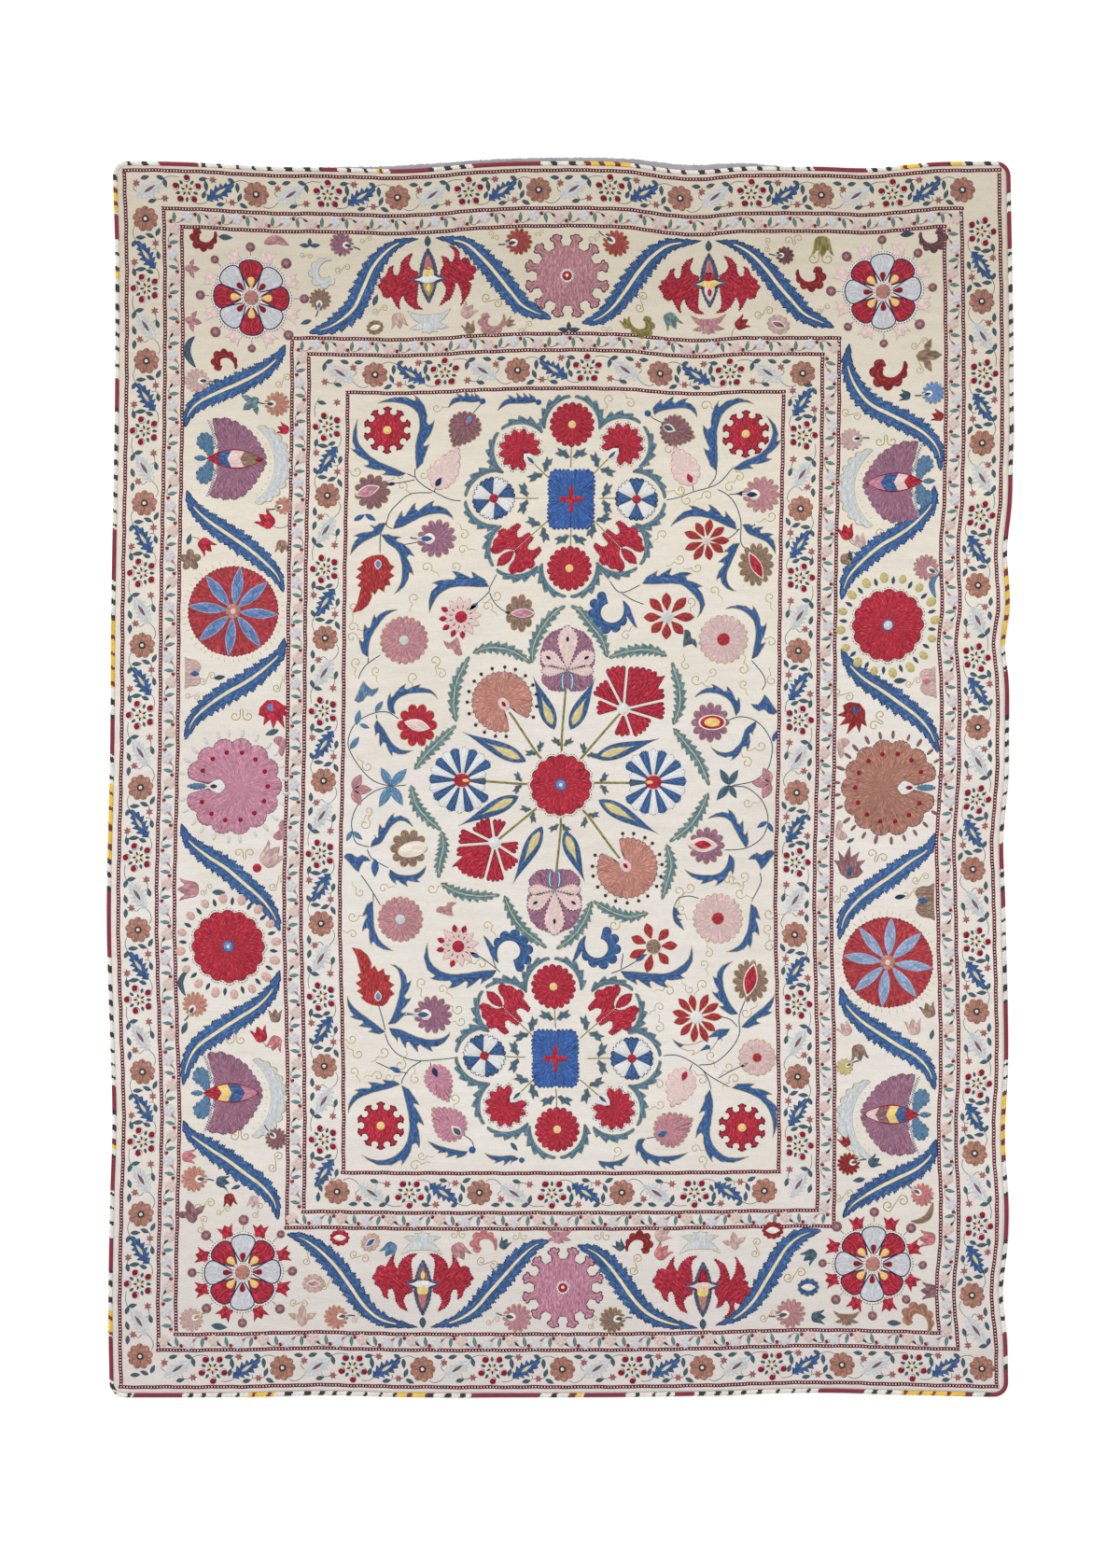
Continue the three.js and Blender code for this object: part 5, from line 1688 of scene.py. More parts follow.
# The field: three medallions and the flowering stems round them. Places run across,down on the chart.
field = {
    "leaves": [  # places along the smooth edge, width, lobes, side that the lobes are on
        ("446,503 445,488 446,473 450,458 448,443 437,434 421,431 404,432", 12, 3, -1),
        ("435,507 421,501 404,494 391,484 383,471 383,449", 9.5, 3, 1),
        ("421,567 430,565 443,558 456,552 471,550 481,553 486,557", 13, 3, 1),
        ("414,560 408,571 398,576 386,583 375,595", 10, 2, -1),
        ("408,573 415,582 426,590 431,605 430,623 422,637", 11, 3, 1),
        ("524,629 512,629 499,628 484,629 471,636 465,645 460,657", 13, 3, -1),
        ("395,704 395,692 398,681 404,671 413,660 426,653", 9.5, 3, 1),
        ("516,430 506,431 497,430 489,431 480,437", 9, 4, -1),
        ("576,431 565,432 556,432 544,433 533,440", 9, 4, -1),
        ("701,445 707,441 719,438 734,437 742,441 747,448", 10, 3, 1),
        ("768,505 769,493 768,475 768,460 773,445 782,436 795,431 808,433", 12, 3, 1),
        ("785,502 797,494 812,488 823,478 828,462 821,445", 9.5, 3, -1),
        ("789,568 779,564 769,559 756,554 740,553 730,557 718,564", 11, 3, -1),
        ("795,562 801,571 812,576 823,582 831,594", 10, 3, 1),
        ("793,582 790,588 783,603 778,616 781,627 789,634", 10, 3, -1),
        ("688,626 701,626 719,625 732,627 744,638 750,649 747,662", 12.5, 4, 1),
        ("805,706 808,692 810,679 808,666 799,656 788,652 777,652", 9.5, 3, -1),
        ("424,765 422,756 427,748 438,743 450,742 462,743 469,749", 8.5, 3, 1),
        ("404,771 411,781 419,795 429,803 443,804", 9.5, 3, -1),
        ("397,908 408,903 414,893 421,883 431,879 443,886", 9, 3, 1),
        ("418,931 427,937 440,938 450,934 457,927", 9, 3, -1),
        ("788,767 784,754 776,746 764,742 753,743 744,747", 8.5, 3, -1),
        ("810,772 799,781 794,795 784,805 772,806 761,800", 8.5, 3, 1),
        ("799,909 793,899 788,889 781,878 770,875 758,877", 9, 3, -1),
        ("781,915 778,928 770,936 758,938 743,936 733,931", 9, 3, 1),
        ("400,965 400,980 401,995 408,1009 422,1019", 10, 3, -1),
        ("532,1039 516,1040 499,1043 482,1044 468,1038 460,1028 458,1010", 12, 4, 1),
        ("416,1097 423,1083 428,1066 430,1052 426,1039 418,1033", 10, 3, -1),
        ("413,1105 398,1094 383,1083 376,1075 372,1067", 9.5, 3, 1),
        ("417,1101 429,1103 444,1110 459,1114 474,1112 483,1105", 12, 4, -1),
        ("429,1162 417,1166 400,1170 385,1176 377,1184 373,1193", 9, 3, -1),
        ("430,1163 434,1178 438,1195 439,1211 434,1228 421,1240 404,1243 387,1237", 11.5, 4, 1),
        ("501,1233 495,1233 482,1231 469,1227 458,1222", 7.5, 3, 1),
        ("556,1241 549,1238 537,1239 528,1238 519,1235", 7.5, 3, 1),
        ("804,968 803,982 801,997 793,1012 778,1020", 10, 3, 1),
        ("721,971 721,980 724,989 733,997", 7, 2, 1),
        ("665,1040 681,1041 698,1043 715,1043 727,1037 737,1028 741,1013", 12, 4, -1),
        ("791,1086 782,1075 776,1062 774,1049 776,1039 785,1030", 10, 3, 1),
        ("794,1100 803,1091 816,1081 824,1073 830,1065", 9, 2, -1),
        ("782,1102 769,1103 759,1111 746,1118 732,1119 720,1113", 10.5, 3, 1),
        ("761,1167 764,1182 762,1199 760,1216 766,1230 780,1240 803,1239", 11.5, 3, -1),
        ("784,1166 799,1170 814,1177 824,1189 828,1203 828,1219", 9.5, 3, 1),
        ("692,1220 688,1227 694,1235 706,1239 723,1238 738,1234", 8.5, 4, -1),
        ("641,1243 652,1245 664,1243 675,1236", 6.8, 3, -1),
    ],
    "sprays": [  # toothed leaves round the middle medallion
        "506,700 523,694 544,696 558,703 569,711", "570,711 572,691 582,671 595,656 606,649",
        "489,774 486,754 489,732 496,716 503,703", "444,825 456,809 470,795 489,777",
        "440,841 446,862 458,877 473,890", "473,890 475,907 471,926 470,941",
        "715,703 704,698 690,696 668,699 652,705", "651,705 645,685 631,667 621,654 611,649",
        "721,777 728,758 728,738 723,720 720,709", "721,780 735,797 749,816 760,842",
        "759,849 749,871 737,887 717,902", "714,904 719,926 715,944 709,964",
        "472,946 490,956 512,960 536,959", "540,959 549,980 562,997 586,1016",
        "634,965 626,986 614,1003 596,1017", "695,978 673,982 652,975 635,965",
    ],
    "stems": [
        "495,537 482,535 465,527 452,519 445,511 445,501",
        "465,528 441,529 428,538 418,549 414,560 408,572 407,595", "446,514 430,517 415,519",
        "414,560 415,564 421,567", "435,507 446,512", "456,577 447,581 430,584",
        "533,614 525,629 524,634 515,643 504,652", "524,634 530,646 539,654 547,657", "465,528 468,519",
        "517,431 505,445", "409,701 394,711 387,720 384,728", "395,704 394,711",
        "713,536 727,533 743,527 758,523 771,517 782,505 785,501", "758,523 766,512 768,501",
        "768,524 779,530 787,539 792,551 794,562 794,582 803,591", "779,530 797,529",
        "768,579 782,576 793,566", "793,567 789,568", "652,621 665,635 688,626", "665,635 678,643 691,648",
        "712,454 701,449 695,444", "804,706 817,722 820,732 816,740", "743,527 742,519",
        "437,841 419,842 401,837 387,824 376,807 373,795 377,781 386,771 401,764 415,763 429,771",
        "419,842 401,848 384,862 377,879 378,892 382,903 397,908", "393,909 399,920 418,931",
        "386,936 397,952 409,972", "403,765 404,771", "400,919 402,926", "400,957 400,966",
        "777,773 792,768 807,771 819,781 827,797 826,813 821,826 807,837 782,842",
        "782,842 800,844 815,856 822,871 822,885 815,899 798,909 773,911", "814,934 815,946 804,968",
        "412,1106 417,1119 427,1130 444,1136 461,1136 491,1133", "453,1136 440,1144 432,1155 430,1162",
        "461,1137 463,1150", "413,1105 410,1092 405,1075", "415,1098 423,1090 438,1087 453,1088",
        "438,1150 423,1147 401,1137", "536,1042 532,1038 516,1026 503,1021", "532,1038 528,1025 535,1010",
        "494,1214 505,1222 508,1230", "709,1131 727,1131 746,1141 761,1153 784,1166",
        "747,1141 765,1139 782,1125 792,1108 792,1089 799,1070", "753,1146 759,1157 762,1168",
        "768,1156 782,1148 801,1139", "742,1139 738,1148", "770,1089 782,1092 791,1101",
        "654,1043 665,1039 685,1028 694,1022", "665,1039 668,1020", "750,963 738,960 727,963 722,972",
        "704,1218 696,1219 692,1220",
    ],
    "curls": "468,437 428,510 454,509 431,521 382,505 497,573 496,589 457,608 488,607 444,641 522,650"
             " 532,638 378,651 378,672 382,710 653,428 675,432 756,435 717,482 792,511 782,522 736,536"
             " 758,531 729,525 826,553 710,573 728,599 747,608 765,633 740,645 671,681 825,640 826,688"
             " 403,719 443,726 466,708 473,722 394,821 395,869 391,883 386,956 411,952 463,952 377,683"
             " 735,713 763,720 746,728 796,717 797,733 827,729 815,799 800,817 801,860 785,942 797,939"
             " 378,1001 378,982 452,1053 474,1060 522,992 516,1033 491,1081 494,1094 377,1113 384,1129"
             " 411,1127 379,1148 405,1153 429,1141 417,1154 445,1156 487,1177 452,1238 445,1249 727,955"
             " 739,951 730,974 658,991 754,1033 759,1021 753,1055 717,1062 739,1060 707,1079 706,1101"
             " 799,1085 762,1131 780,1143 787,1156 752,1157 706,1162 707,1183 745,1231 752,1243 661,1233"
             " 824,979 823,995 825,1014 793,957 780,943",
    "smallLeaves": [  # foot, turn, length, colour
        (402, 763, 56, 15, "steel"), (382, 777, 79, 17, "steel"), (385, 776, -20, 12, "steel"),
        (375, 803, 55, 17, "steel"), (377, 890, -116, 13, "steel"), (378, 891, -39, 14, "steel"),
        (402, 920, -90, 20, "royal"), (828, 795, 72, 13, "royal"), (822, 880, -148, 13, "royal"),
        (822, 881, -58, 13, "royal"), (424, 518, 187, 10, "navy"), (790, 529, 0, 13, "navy"),
        (512, 646, -140, 13, "royal"), (541, 656, -10, 8, "navy"), (445, 1088, 0, 10, "royal"),
        (514, 1026, 150, 13, "royal"), (430, 1149, 155, 14, "royal"), (681, 1030, 35, 14, "royal"),
        (793, 1143, 25, 11, "navy"), (419, 842, 120, 23, "steel"), (419, 842, 48, 25, "steel"),
        (419, 842, -118, 26, "steel"), (419, 842, -58, 25, "steel"), (781, 841, 120, 20, "teal"),
        (781, 841, 60, 19, "teal"), (781, 841, -128, 21, "teal"), (781, 841, -60, 17, "teal"),
        (379, 558, 30, 14, "royal"), (391, 551, -30, 14, "royal"), (547, 1224, -50, 12, "teal"),
    ],
    "bells": [  # place, turn, size, colour, side
        (389, 741, -8, 1.0, "steel", -1), (736, 685, -20, 0.8, "teal", 1), (380, 924, 28, 1.0, "royal", 1),
        (822, 755, 200, 1.0, "royal", 1), (819, 921, 157, 1.0, "royal", -1),
        (489, 692, -180, 0.85, "mauve", 1), (478, 976, 60, 0.8, "mauve", 1),
    ],
    "balls": [(517, 430, 3.6), (577, 431, 3.4), (694, 443, 3.8), (506, 1232, 4.0), (559, 1243, 3.2)],
    "cogs": [(415, 461), (799, 465), (408, 1206), (795, 1208)],
    "buds": [  # foot, turn, length, width, colour, drop
        (506, 444, -120, 38, 35, "plum", "scarlet"), (466, 523, 60, 48, 29, "blush", "navy"),
        (709, 456, -18, 36, 34, "plum", "teal"), (742, 519, 116, 44, 29, "blush", "crimson"),
        (463, 1142, -66, 41, 29, "pink", "navy"), (495, 1217, 137, 42, 35, "pink", "teal"),
        (736, 1146, -113, 42, 31, "blush", "crimson"), (703, 1218, 26, 42, 37, "mauve", "royal"),
    ],
    "scallops": [  # place, turn, radius, petals, colour, drop
        (468, 577, 0, 21.5, 13, "violet", "royal"), (816, 530, 0, 20.5, 13, "mauve", "navy"),
        (464, 1087, 0, 21, 13, "violet", "royal"),
    ],
    "ovals": [  # place, radii, petals, colour, then the heart: place, turn, length, width and colours
        (399, 527, 20, 20, 11, "plum", -5, 1, 20, 26, 11, "pink", None),
        (557, 657, 16, 21, 9, "taupe", 3, 0, 0, 25, 9, "pink", None),
        (447, 777, 22, 24, 10, "crimson", 0, 0, -14, 27, 12, "blush", None),
        (438, 909, 20.5, 21, 10, "taupe", 4, -1, 12, 30, 16, "cream", None),
        (810, 605, 19.5, 24, 14, "taupe", 0, -1, -62, 32, 11, "crimson", None),
        (804, 1051, 19.5, 23.5, 14, "taupe", 0, 1, 76, 36, 14, "crimson", None),
        (761, 774, 21, 22, 12, "violet", 2, 0, 0, 28, 16, "crimson", "yellow"),
        (757, 906, 20, 20.5, 12, "violet", -4, 1, -4, 31, 15, "blush", "crimson"),
    ],
    "stars": [  # place, petals, length, petal width, heart radius, heart
        (757, 579, 9, 24, 9, 4.0, "blush"), (715, 661, 8, 27, 10.5, 6.0, "paleBlue"),
        (700, 1014, 7, 27, 10, 8.0, "taupe"), (746, 1090, 11, 28, 8.6, 6.2, "white"),
    ],
    "mums": [  # place, radius, colour, heart radius, heart
        (433, 686, 26.5, "mauve", 5.6, "paleBlue"), (775, 685, 27, "petal", 7.2, "crimson"),
        (429, 985, 25, "mauve", 5.8, "paleBlue"), (769, 984, 27.5, "petal", 6.8, "crimson"),
        (811, 1133, 20.5, "petal", 5.2, "crimson"),
    ],
}


def acanthus(work, text, width, lobes, side):  # a bent leaf, smooth on one side and hooked on the other
    line = resampled(smoothLine(chartLine(placesOf(text)), 8), 41)
    heading = np.gradient(line, axis=0)
    heading /= np.linalg.norm(heading, axis=1, keepdims=True)
    normal = np.stack([-heading[:, 1], heading[:, 0]], axis=1) * side
    rows = [(0.0, 1.0)]
    hooked = 0.63 / lobes
    for lobe in range(lobes):
        start = 0.03 + hooked * lobe
        full = 1.12 * width * math.sin(math.pi * (0.22 + 0.6 * (lobe + 0.6) / lobes)) ** 0.6
        rows += [(start + hooked * place, full * reach) for place, reach in (
            (0.1, 0.64), (0.35, 0.8), (0.65, 0.97), (0.92, 1.12), (1.14, 1.2), (1.06, 0.96), (0.98, 0.72))]
    rows += [(0.74, width * 0.66), (0.84, width * 0.48), (0.93, width * 0.25), (1.0, 0.1)]
    rows += [(share, -0.9 * math.sin(math.pi * share)) for share in np.linspace(0.96, 0.0, 18)]
    shares, reach = np.array(rows).T
    at = np.clip(shares, 0, 1) * 40
    feet, ways = [np.stack([np.interp(at, np.arange(41), table[:, k]) for k in range(2)], 1)
                  for table in (line, normal)]
    fillAny(work, homeSpot, feet + ways * reach[:, None], thread["royal"], rim=thread["gold"], rimWidth=0.8,
            grain=np.stack([reach, shares * along(line)[-1]], axis=1))


def spray(work, text, width=7.4, teeth=9):
    line = resampled(smoothLine(chartLine(placesOf(text)), 8), 6 * teeth + 1)
    share = np.linspace(0, 1, len(line))
    half = width * np.sin(math.pi * share ** 0.9) ** 0.55 * (0.5 + 0.65 * np.mod(share * teeth, 1)) + 0.2
    ribbon(work, homeSpot, line, half, thread["seaGreen"], edge=thread["gold"], edgeWidth=0.6)
    ribbon(work, homeSpot, line[2:-4], 0.5, thread["straw"], level=1)


def bud(work, spot, length, width, tint, drop):
    share = np.linspace(0, 1, 15)
    outline = doubled(np.stack([share * length, width / 2.15 * np.sin(math.pi * share ** 0.72) ** 0.85],
                               axis=1))
    petals = 13 if tint == "blush" else 19
    fine = resampled(looped(outline), petals * 6 + 1)[:-1]
    scallops = 0.075 * width * np.abs(np.sin(np.arange(petals * 6) * math.pi / 6)) ** 0.6
    fillShape(work, spot, pushed(fine, scallops), thread[tint], centre=(length * 0.3, 0),
              rim=thread["gold"] if tint != "blush" else thread["salmon"], rimWidth=0.8)
    ring = {"scarlet": "scarlet", "teal": "cream"}.get(drop, tint)
    fillShape(work, shifted(spot, 1.0, 0), leafOutline(15, 9.5, 9), thread[ring], level=1)
    fillShape(work, shifted(spot, 1.5, 0), leafOutline(12, 6.6, 9),
              thread["sky" if drop == "scarlet" else drop], level=2)


def ovalFlower(work, spot, radiusX, radiusY, petals, tint, x, y, turn, length, width, heart, inner):
    fillShape(work, spot, lobed(petals, 1.0, 0.25, 8, 0.65) * (radiusX, radiusY), thread[tint],
              rim=thread["gold"], rimWidth=0.9)
    there = shifted(spot, x, y, turn)
    for level, (share, core) in enumerate(((1.0, "cream"), (0.86, heart), (0.55, inner))):
        if core is not None:
            oval = lobed(1, 0.5, 0.0, 18) if width > length * 0.5 else lens(1, 1, 15)
            fillShape(work, there, oval * (length * share + 2, width * share + 1), thread[core],
                      level=1 + level, flow=0)


def petalStar(work, spot, rng, petals, length, width, radius, heart):
    for k in range(petals):
        here = shifted(spot, 0, 0, k * 360 / petals + rng.uniform(-4, 4))
        share = np.linspace(0, 1, 10)
        long = length * rng.uniform(0.9, 1.1) - radius * 0.8
        petal = np.stack([radius * 0.8 + long * share, width / 2 * np.sin(math.pi * share ** 1.4) ** 0.9],
                         axis=1)
        fillAny(work, here, doubled(petal), thread["scarlet"], flow=0,
                rim=thread["gold"] * 0.35 + thread["scarlet"] * 0.55)
    disc(work, spot, 0, 0, radius + 0.8, "cream", level=1, steps=20)
    disc(work, spot, 0, 0, radius, heart, level=2, steps=20)


def tippedStar(work, spot, rng, tipped):  # pale petals, some with a red drop at the end, round a red heart
    for k in range(12):
        here = shifted(spot, 0, 0, k * 30)
        fillShape(work, shifted(here, 5, 0), leafOutline(18 + rng.uniform(-1, 1), 8.6, 9), thread["blush"],
                  flow=0, rim=thread["salmon"])
        if k in tipped:
            fillShape(work, shifted(here, 15.0, 0), leafOutline(9, 6.0, 9), thread["crimson"], level=1,
                      flow=0)
    disc(work, spot, 0, 0, 7.8, "blush", level=1, steps=20)
    disc(work, spot, 0, 0, 6.8, "crimson", level=2, steps=20)


def roundMum(work, spot, radius, tint, heartRadius, heart):
    petals = int(radius * 0.8)
    fillShape(work, spot, lobed(petals, radius, 0.13, 7, 0.6), thread[tint], rim=thread["gold"],
              rimWidth=0.9)
    for k in range(petals):
        here = shifted(spot, 0, 0, (k + 0.5) * 360 / petals)
        ribbon(work, here, [(radius * 0.36, 0), (radius * 0.6, 0), (radius * 0.88, 0)],
               np.array([0.2, 0.5, 0.6]), thread[tint] * 0.72, level=1, height=0.2)
    disc(work, spot, 0, 0, heartRadius, heart, level=2, steps=20, rim="gold")


def tongue(work, spot, tint="scarlet"):  # a red flower with one long petal; y points away from its stem
    outline = placesOf("0,-17 -7,-16 -13,-13 -19,-8 -16,-6 -23,-1 -18,2 -24,8 -18,11 -22,17 -18,19 -20,27"
                       " -22,36 -27,46 -17,44 -10,38 -6,30 -6,23 -3,27 1,20 7,24 8,17 14,16 12,10 18,6"
                       " 13,2 18,-4 13,-7 10,-13 5,-17")
    fillAny(work, spot, outline, thread[tint], rim=thread["gold"] * 0.5 + thread["deepRed"] * 0.5, flow=90)
    fillShape(work, shifted(spot, 0, -12, 90), leafOutline(12, 8, 9), thread["cream"], level=1)
    fillShape(work, shifted(spot, 0, -11, 90), leafOutline(9.5, 6, 9), thread["sky"], level=2)


def hookedCurl(work, spot):  # a blue curl with a scalloped back and a leaf beside it
    line = spiral((0, 0), 15.5, 12.0, 15, -255, 73)
    share = np.linspace(0, 1, 73)
    swell = np.abs(np.sin(share * math.pi * 8.0)) ** 0.6
    outside = (1.5 + 8.5 * np.clip(share * 2.2, 0, 1) ** 0.8) * (0.62 + 0.55 * swell)
    ribbon(work, spot, line, np.stack([1.0 + 2.6 * share, outside], axis=1), thread["royal"],
           edge=thread["navy"])
    leaf = smoothLine(placesOf("13,12 20,6 25,-6 29,-18 22,-12 16,-2"), 4, closed=True)
    fillAny(work, spot, leaf, thread["royal"], rim=thread["gold"], flow=-70)


def halfTulip(work, spot):
    for turn, long in ((0, 21), (62, 19), (-62, 19)):
        fillShape(work, shifted(spot, -3, 0, turn), leafOutline(long, 11, 9), thread["mauve"], flow=0,
                  rim=thread["violet"])


def shaggyBlock(work, spot, rng, halfX, halfY):
    quarter = np.array([(0.93, 0), (1, 0.2), (1, 0.72), (0.94, 0.9), (0.8, 1), (0.2, 1)])
    outline = np.concatenate([quarter, [(0, 0.95)], quarter[:0:-1] * (-1, 1), -quarter, [(0, -0.95)],
                              quarter[:0:-1] * (1, -1)])
    blue = thread["cobalt"]
    fillShape(work, spot, shaggy(rng, outline * (halfX - 2, halfY - 2), 120, 0.5, 46, 2.8), blue,
              rim=thread["navy"], rimWidth=0.9)
    for k in range(130):  # tufts
        x, y = rng.uniform(-0.8, 0.8) * halfX, rng.uniform(-0.8, 0.8) * halfY
        here = shifted(spot, x, y, math.degrees(math.atan2(y, x)) + rng.uniform(-60, 60))
        ribbon(work, here, [(0, 0), (2.5, 0.2), (5, 0)], np.array([0.3, 0.9, 0.3]),
               blue * rng.choice([0.75, 1.25, 1.45]), level=1, height=0.2)
    cross = mirrored([(0, -14), (2.2, -13.6), (2.4, -3), (12.6, -2.4), (13, 0), (12.6, 2.4), (2.4, 3),
                      (2.2, 13.6), (0, 14)])
    fillShape(work, spot, cross, thread["crimson"], level=2, flow=90)


def raggedRosette(work, spot, rng):
    fillShape(work, spot, shaggy(rng, lobed(18, 24.2, 0.16, 10, 0.6), 84, 0.8), thread["crimson"],
              rim=thread["wine"], rimWidth=0.7)
    for k in range(18):
        here = shifted(spot, 0, 0, (k + 0.5) * 20)
        ribbon(work, here, [(7, 0), (13, 0), (20, 0)], np.array([0.2, 0.4, 0.6]), thread["crimson"] * 0.7,
               level=1, height=0.2)
    disc(work, spot, 0, 0, 4.2, "yellow", level=2, steps=16, rim="straw")


def sectorRosette(work, spot):
    place = np.linspace(-1, 1, 25)
    angle = np.radians(22.2 * place)
    reach = 19.8 + 2.4 * np.abs(np.cos(place * 1.5 * math.pi)) ** 0.6
    edge = polar(reach, angle)
    for k in range(8):
        here = shifted(spot, 0, 0, 45 * k)
        blue = k % 2 == 0
        fillAny(work, here, np.concatenate([[(4.0, -0.6)], edge, [(4.0, 0.6)]]),
                thread["royal" if blue else "white"], rim=thread["royal"] * 0.8 if blue else None)
        dashed(work, here, edge * 1.03, 9, 0.5, "navy", "navy" if blue else "white", level=1)
    disc(work, spot, 0, 0, 4.8, "crimson", level=1, steps=16, rim="deepRed")


def carnation(work, spot, radius, petals, tint):  # open towards -x
    place = np.linspace(0, 1, petals * 7 + 1)
    angle = np.radians(203 + 314 * place)
    reach = radius * (0.8 + 0.24 * (1 - np.abs(2 * np.mod(place * petals, 1) - 1)))
    edge = polar(reach, angle)
    mouth = np.array([(-0.62, 0.25), (-0.42, 0.2), (-0.32, 0), (-0.42, -0.2), (-0.62, -0.25)]) * radius
    fillShape(work, spot, np.concatenate([edge, mouth]), thread[tint], centre=(radius * 0.1, 0),
              rim=thread["wine"], rimWidth=0.7)
    dashed(work, spot, edge * (1 + 1.9 / radius), 46, 0.6, "navy", "white")
    fillShape(work, shifted(spot, -radius * 0.62, 0), lens(radius * 0.72, radius * 0.46, 11),
              thread["white"], level=1)
    smallLeaf(work, spot, -radius * 0.95, 0, 0, radius * 0.5, 4.0, "teal", level=2)


def redLily(work, spot, rng):  # faces +x, with two horns and a pale slit on each side of its middle petal
    wing = placesOf("-21,0.6 -22,3.6 -17,5 -10,6 -9,10 -13,14 -20,15 -19,19.5 -12,21 -6,21 -4,26 2,27"
                    " 5,23 12,23 16,19 22,18 21,12 16,8.8 9,7.6 4.5,4.6 2.8,0.6")
    for side in (1, -1):
        fillAny(work, spot, shaggy(rng, wing, 64, 1.5) * (1, side), thread["crimson"], rim=thread["wine"],
                rimWidth=0.6, flow=30 * side)
        dashed(work, spot, np.array([(6, 4.2), (10, 6.6), (18, 7.6)]) * (1, side), 8, 0.7, "white", "cream")
    petal = doubled([(3.6, 0), (7, 2.8), (14, 5.4), (21, 4.6), (27, 0)])
    fillAny(work, spot, shaggy(rng, petal, 30, 1.2), thread["crimson"], rim=thread["wine"], rimWidth=0.6,
            flow=0)


def wreathLobe(work, spot, radius=29.5):  # two leaves that meet on +x, toothed outside
    share = np.linspace(0, 1, 37)
    body = np.sin(math.pi * (0.04 + 0.95 * share) ** 0.9) ** 0.55
    outside = 7.4 * body * (0.42 + 0.72 * np.mod(share * 5, 1)) + 0.2
    for side in (1, -1):
        angle = np.radians(100 - 97 * share) * side
        line = polar(radius, angle)
        width = np.stack([2.0 * body + 0.3, outside][::side], axis=1)
        ribbon(work, spot, line, width, thread["seaGreen"] * 0.4 + thread["steel"] * 0.5,
               edge=thread["gold"] * 0.9, edgeWidth=0.7)


def leafPair(work, spot, x, size=1.2, spread=60):
    outline = placesOf("0,0 2.5,3.4 6,2.6 8,4.6 14,4.4 12,1.2 15,-1.6 9,-2.2 7,-4.4 4.5,-2.2") * size
    for side in (1, -1):
        fillAny(work, shifted(spot, x, 0.8 * side, spread * side), outline * (1, side),
                thread["steel"] * 0.35 + thread["teal"] * 0.65, rim=thread["gold"] * 0.8, rimWidth=0.8)


def outFrom(middle, across, down):  # a spot that faces away from the middle, and its distance
    turn = math.degrees(math.atan2(middle[1] - down, across - middle[0]))
    return spotAt(across, down, turn), math.hypot(across - middle[0], down - middle[1])


def smallMedallion(work, rng, middle, halfY, flowers):
    for kind, across, down in flowers:
        spot, reach = outFrom(middle, across, down)
        stem(work, spot, [(-reach * 0.6, 0), (-reach * 0.4, 0.2), (-20, 0)], "olive", 0.95)
        leafPair(work, spot, -35 if kind == "ragged" else -36)
        wreathLobe(work, spot)
        if kind == "ragged":
            raggedRosette(work, spot, rng)
        elif kind == "sector":
            sectorRosette(work, spotAt(across, down, 22.5 if across < middle[0] else 0))
        elif kind == "lily":
            redLily(work, spot, rng)
        else:
            carnation(work, spot, 23, 11, "crimson")
    shaggyBlock(work, spotAt(*middle), rng, 25, halfY)


def stripedFan(work, spot):  # stem from -x
    for k in range(20):
        here = shifted(spot, 0, 0, 18 * k)
        near = k in (9, 10, 11)
        long = 26 if near else 35
        blue = k % 2 == 0
        half = long * math.tan(math.radians(8.9))
        petal = doubled([(8, 0), (8.2, 1.2), (long * 0.6, half * 0.64), (long * 0.9, half),
                         (long * 0.975, half * 0.7), (long, 0)])
        tint = "teal" if near and blue else "royal" if blue else "white"
        fillAny(work, here, petal, thread[tint], rim=thread["navy" if blue else "white"], rimWidth=0.6)
        dashed(work, here, np.array([(long * 0.93, -half), (long + 1.0, 0), (long * 0.93, half)]), 5, 0.5,
               "navy", "white")
    fillShape(work, spot, lobed(1, 9, 0.0, 20, squash=0.8), thread["crimson"], level=1)
    fillShape(work, shifted(spot, -4, 0), lobed(1, 4, 0.0, 14, squash=0.5), thread["yellow"], level=2)


def dottedCarnation(work, spot, rng):  # salmon, open towards -x, with a ring of dark dots on stalks
    angle = np.radians(np.linspace(201, 519, 141))
    reach = 31.5 * (1 + 0.05 * np.abs(np.sin(np.arange(141) * math.pi / 5)))
    edge = polar(reach, angle)
    mouth = doubled([(-30, 0), (-19, 6), (-12, 6.5), (-7, 3), (-6, 0)])[1:]
    fillShape(work, spot, np.concatenate([edge, mouth]), thread["salmon"], centre=(3, 0),
              rim=thread["brown"], rimWidth=0.7)
    fillShape(work, shifted(spot, -3, 0), lobed(1, 7.6, 0.0, 18, squash=0.75), thread["blush"], level=1)
    fillShape(work, shifted(spot, -3, 0), lobed(1, 3.6, 0.0, 12, squash=0.6), thread["deepRed"], level=2)
    for k in range(17):
        here = shifted(spot, 0, 0, 208 + k * 304 / 16 + rng.uniform(-2, 2))
        stem(work, here, [(32, 0), (36, 0)], "darkTeal", 0.4)
        disc(work, here, 37.4, 0, 1.9, "brown", level=1, steps=10)


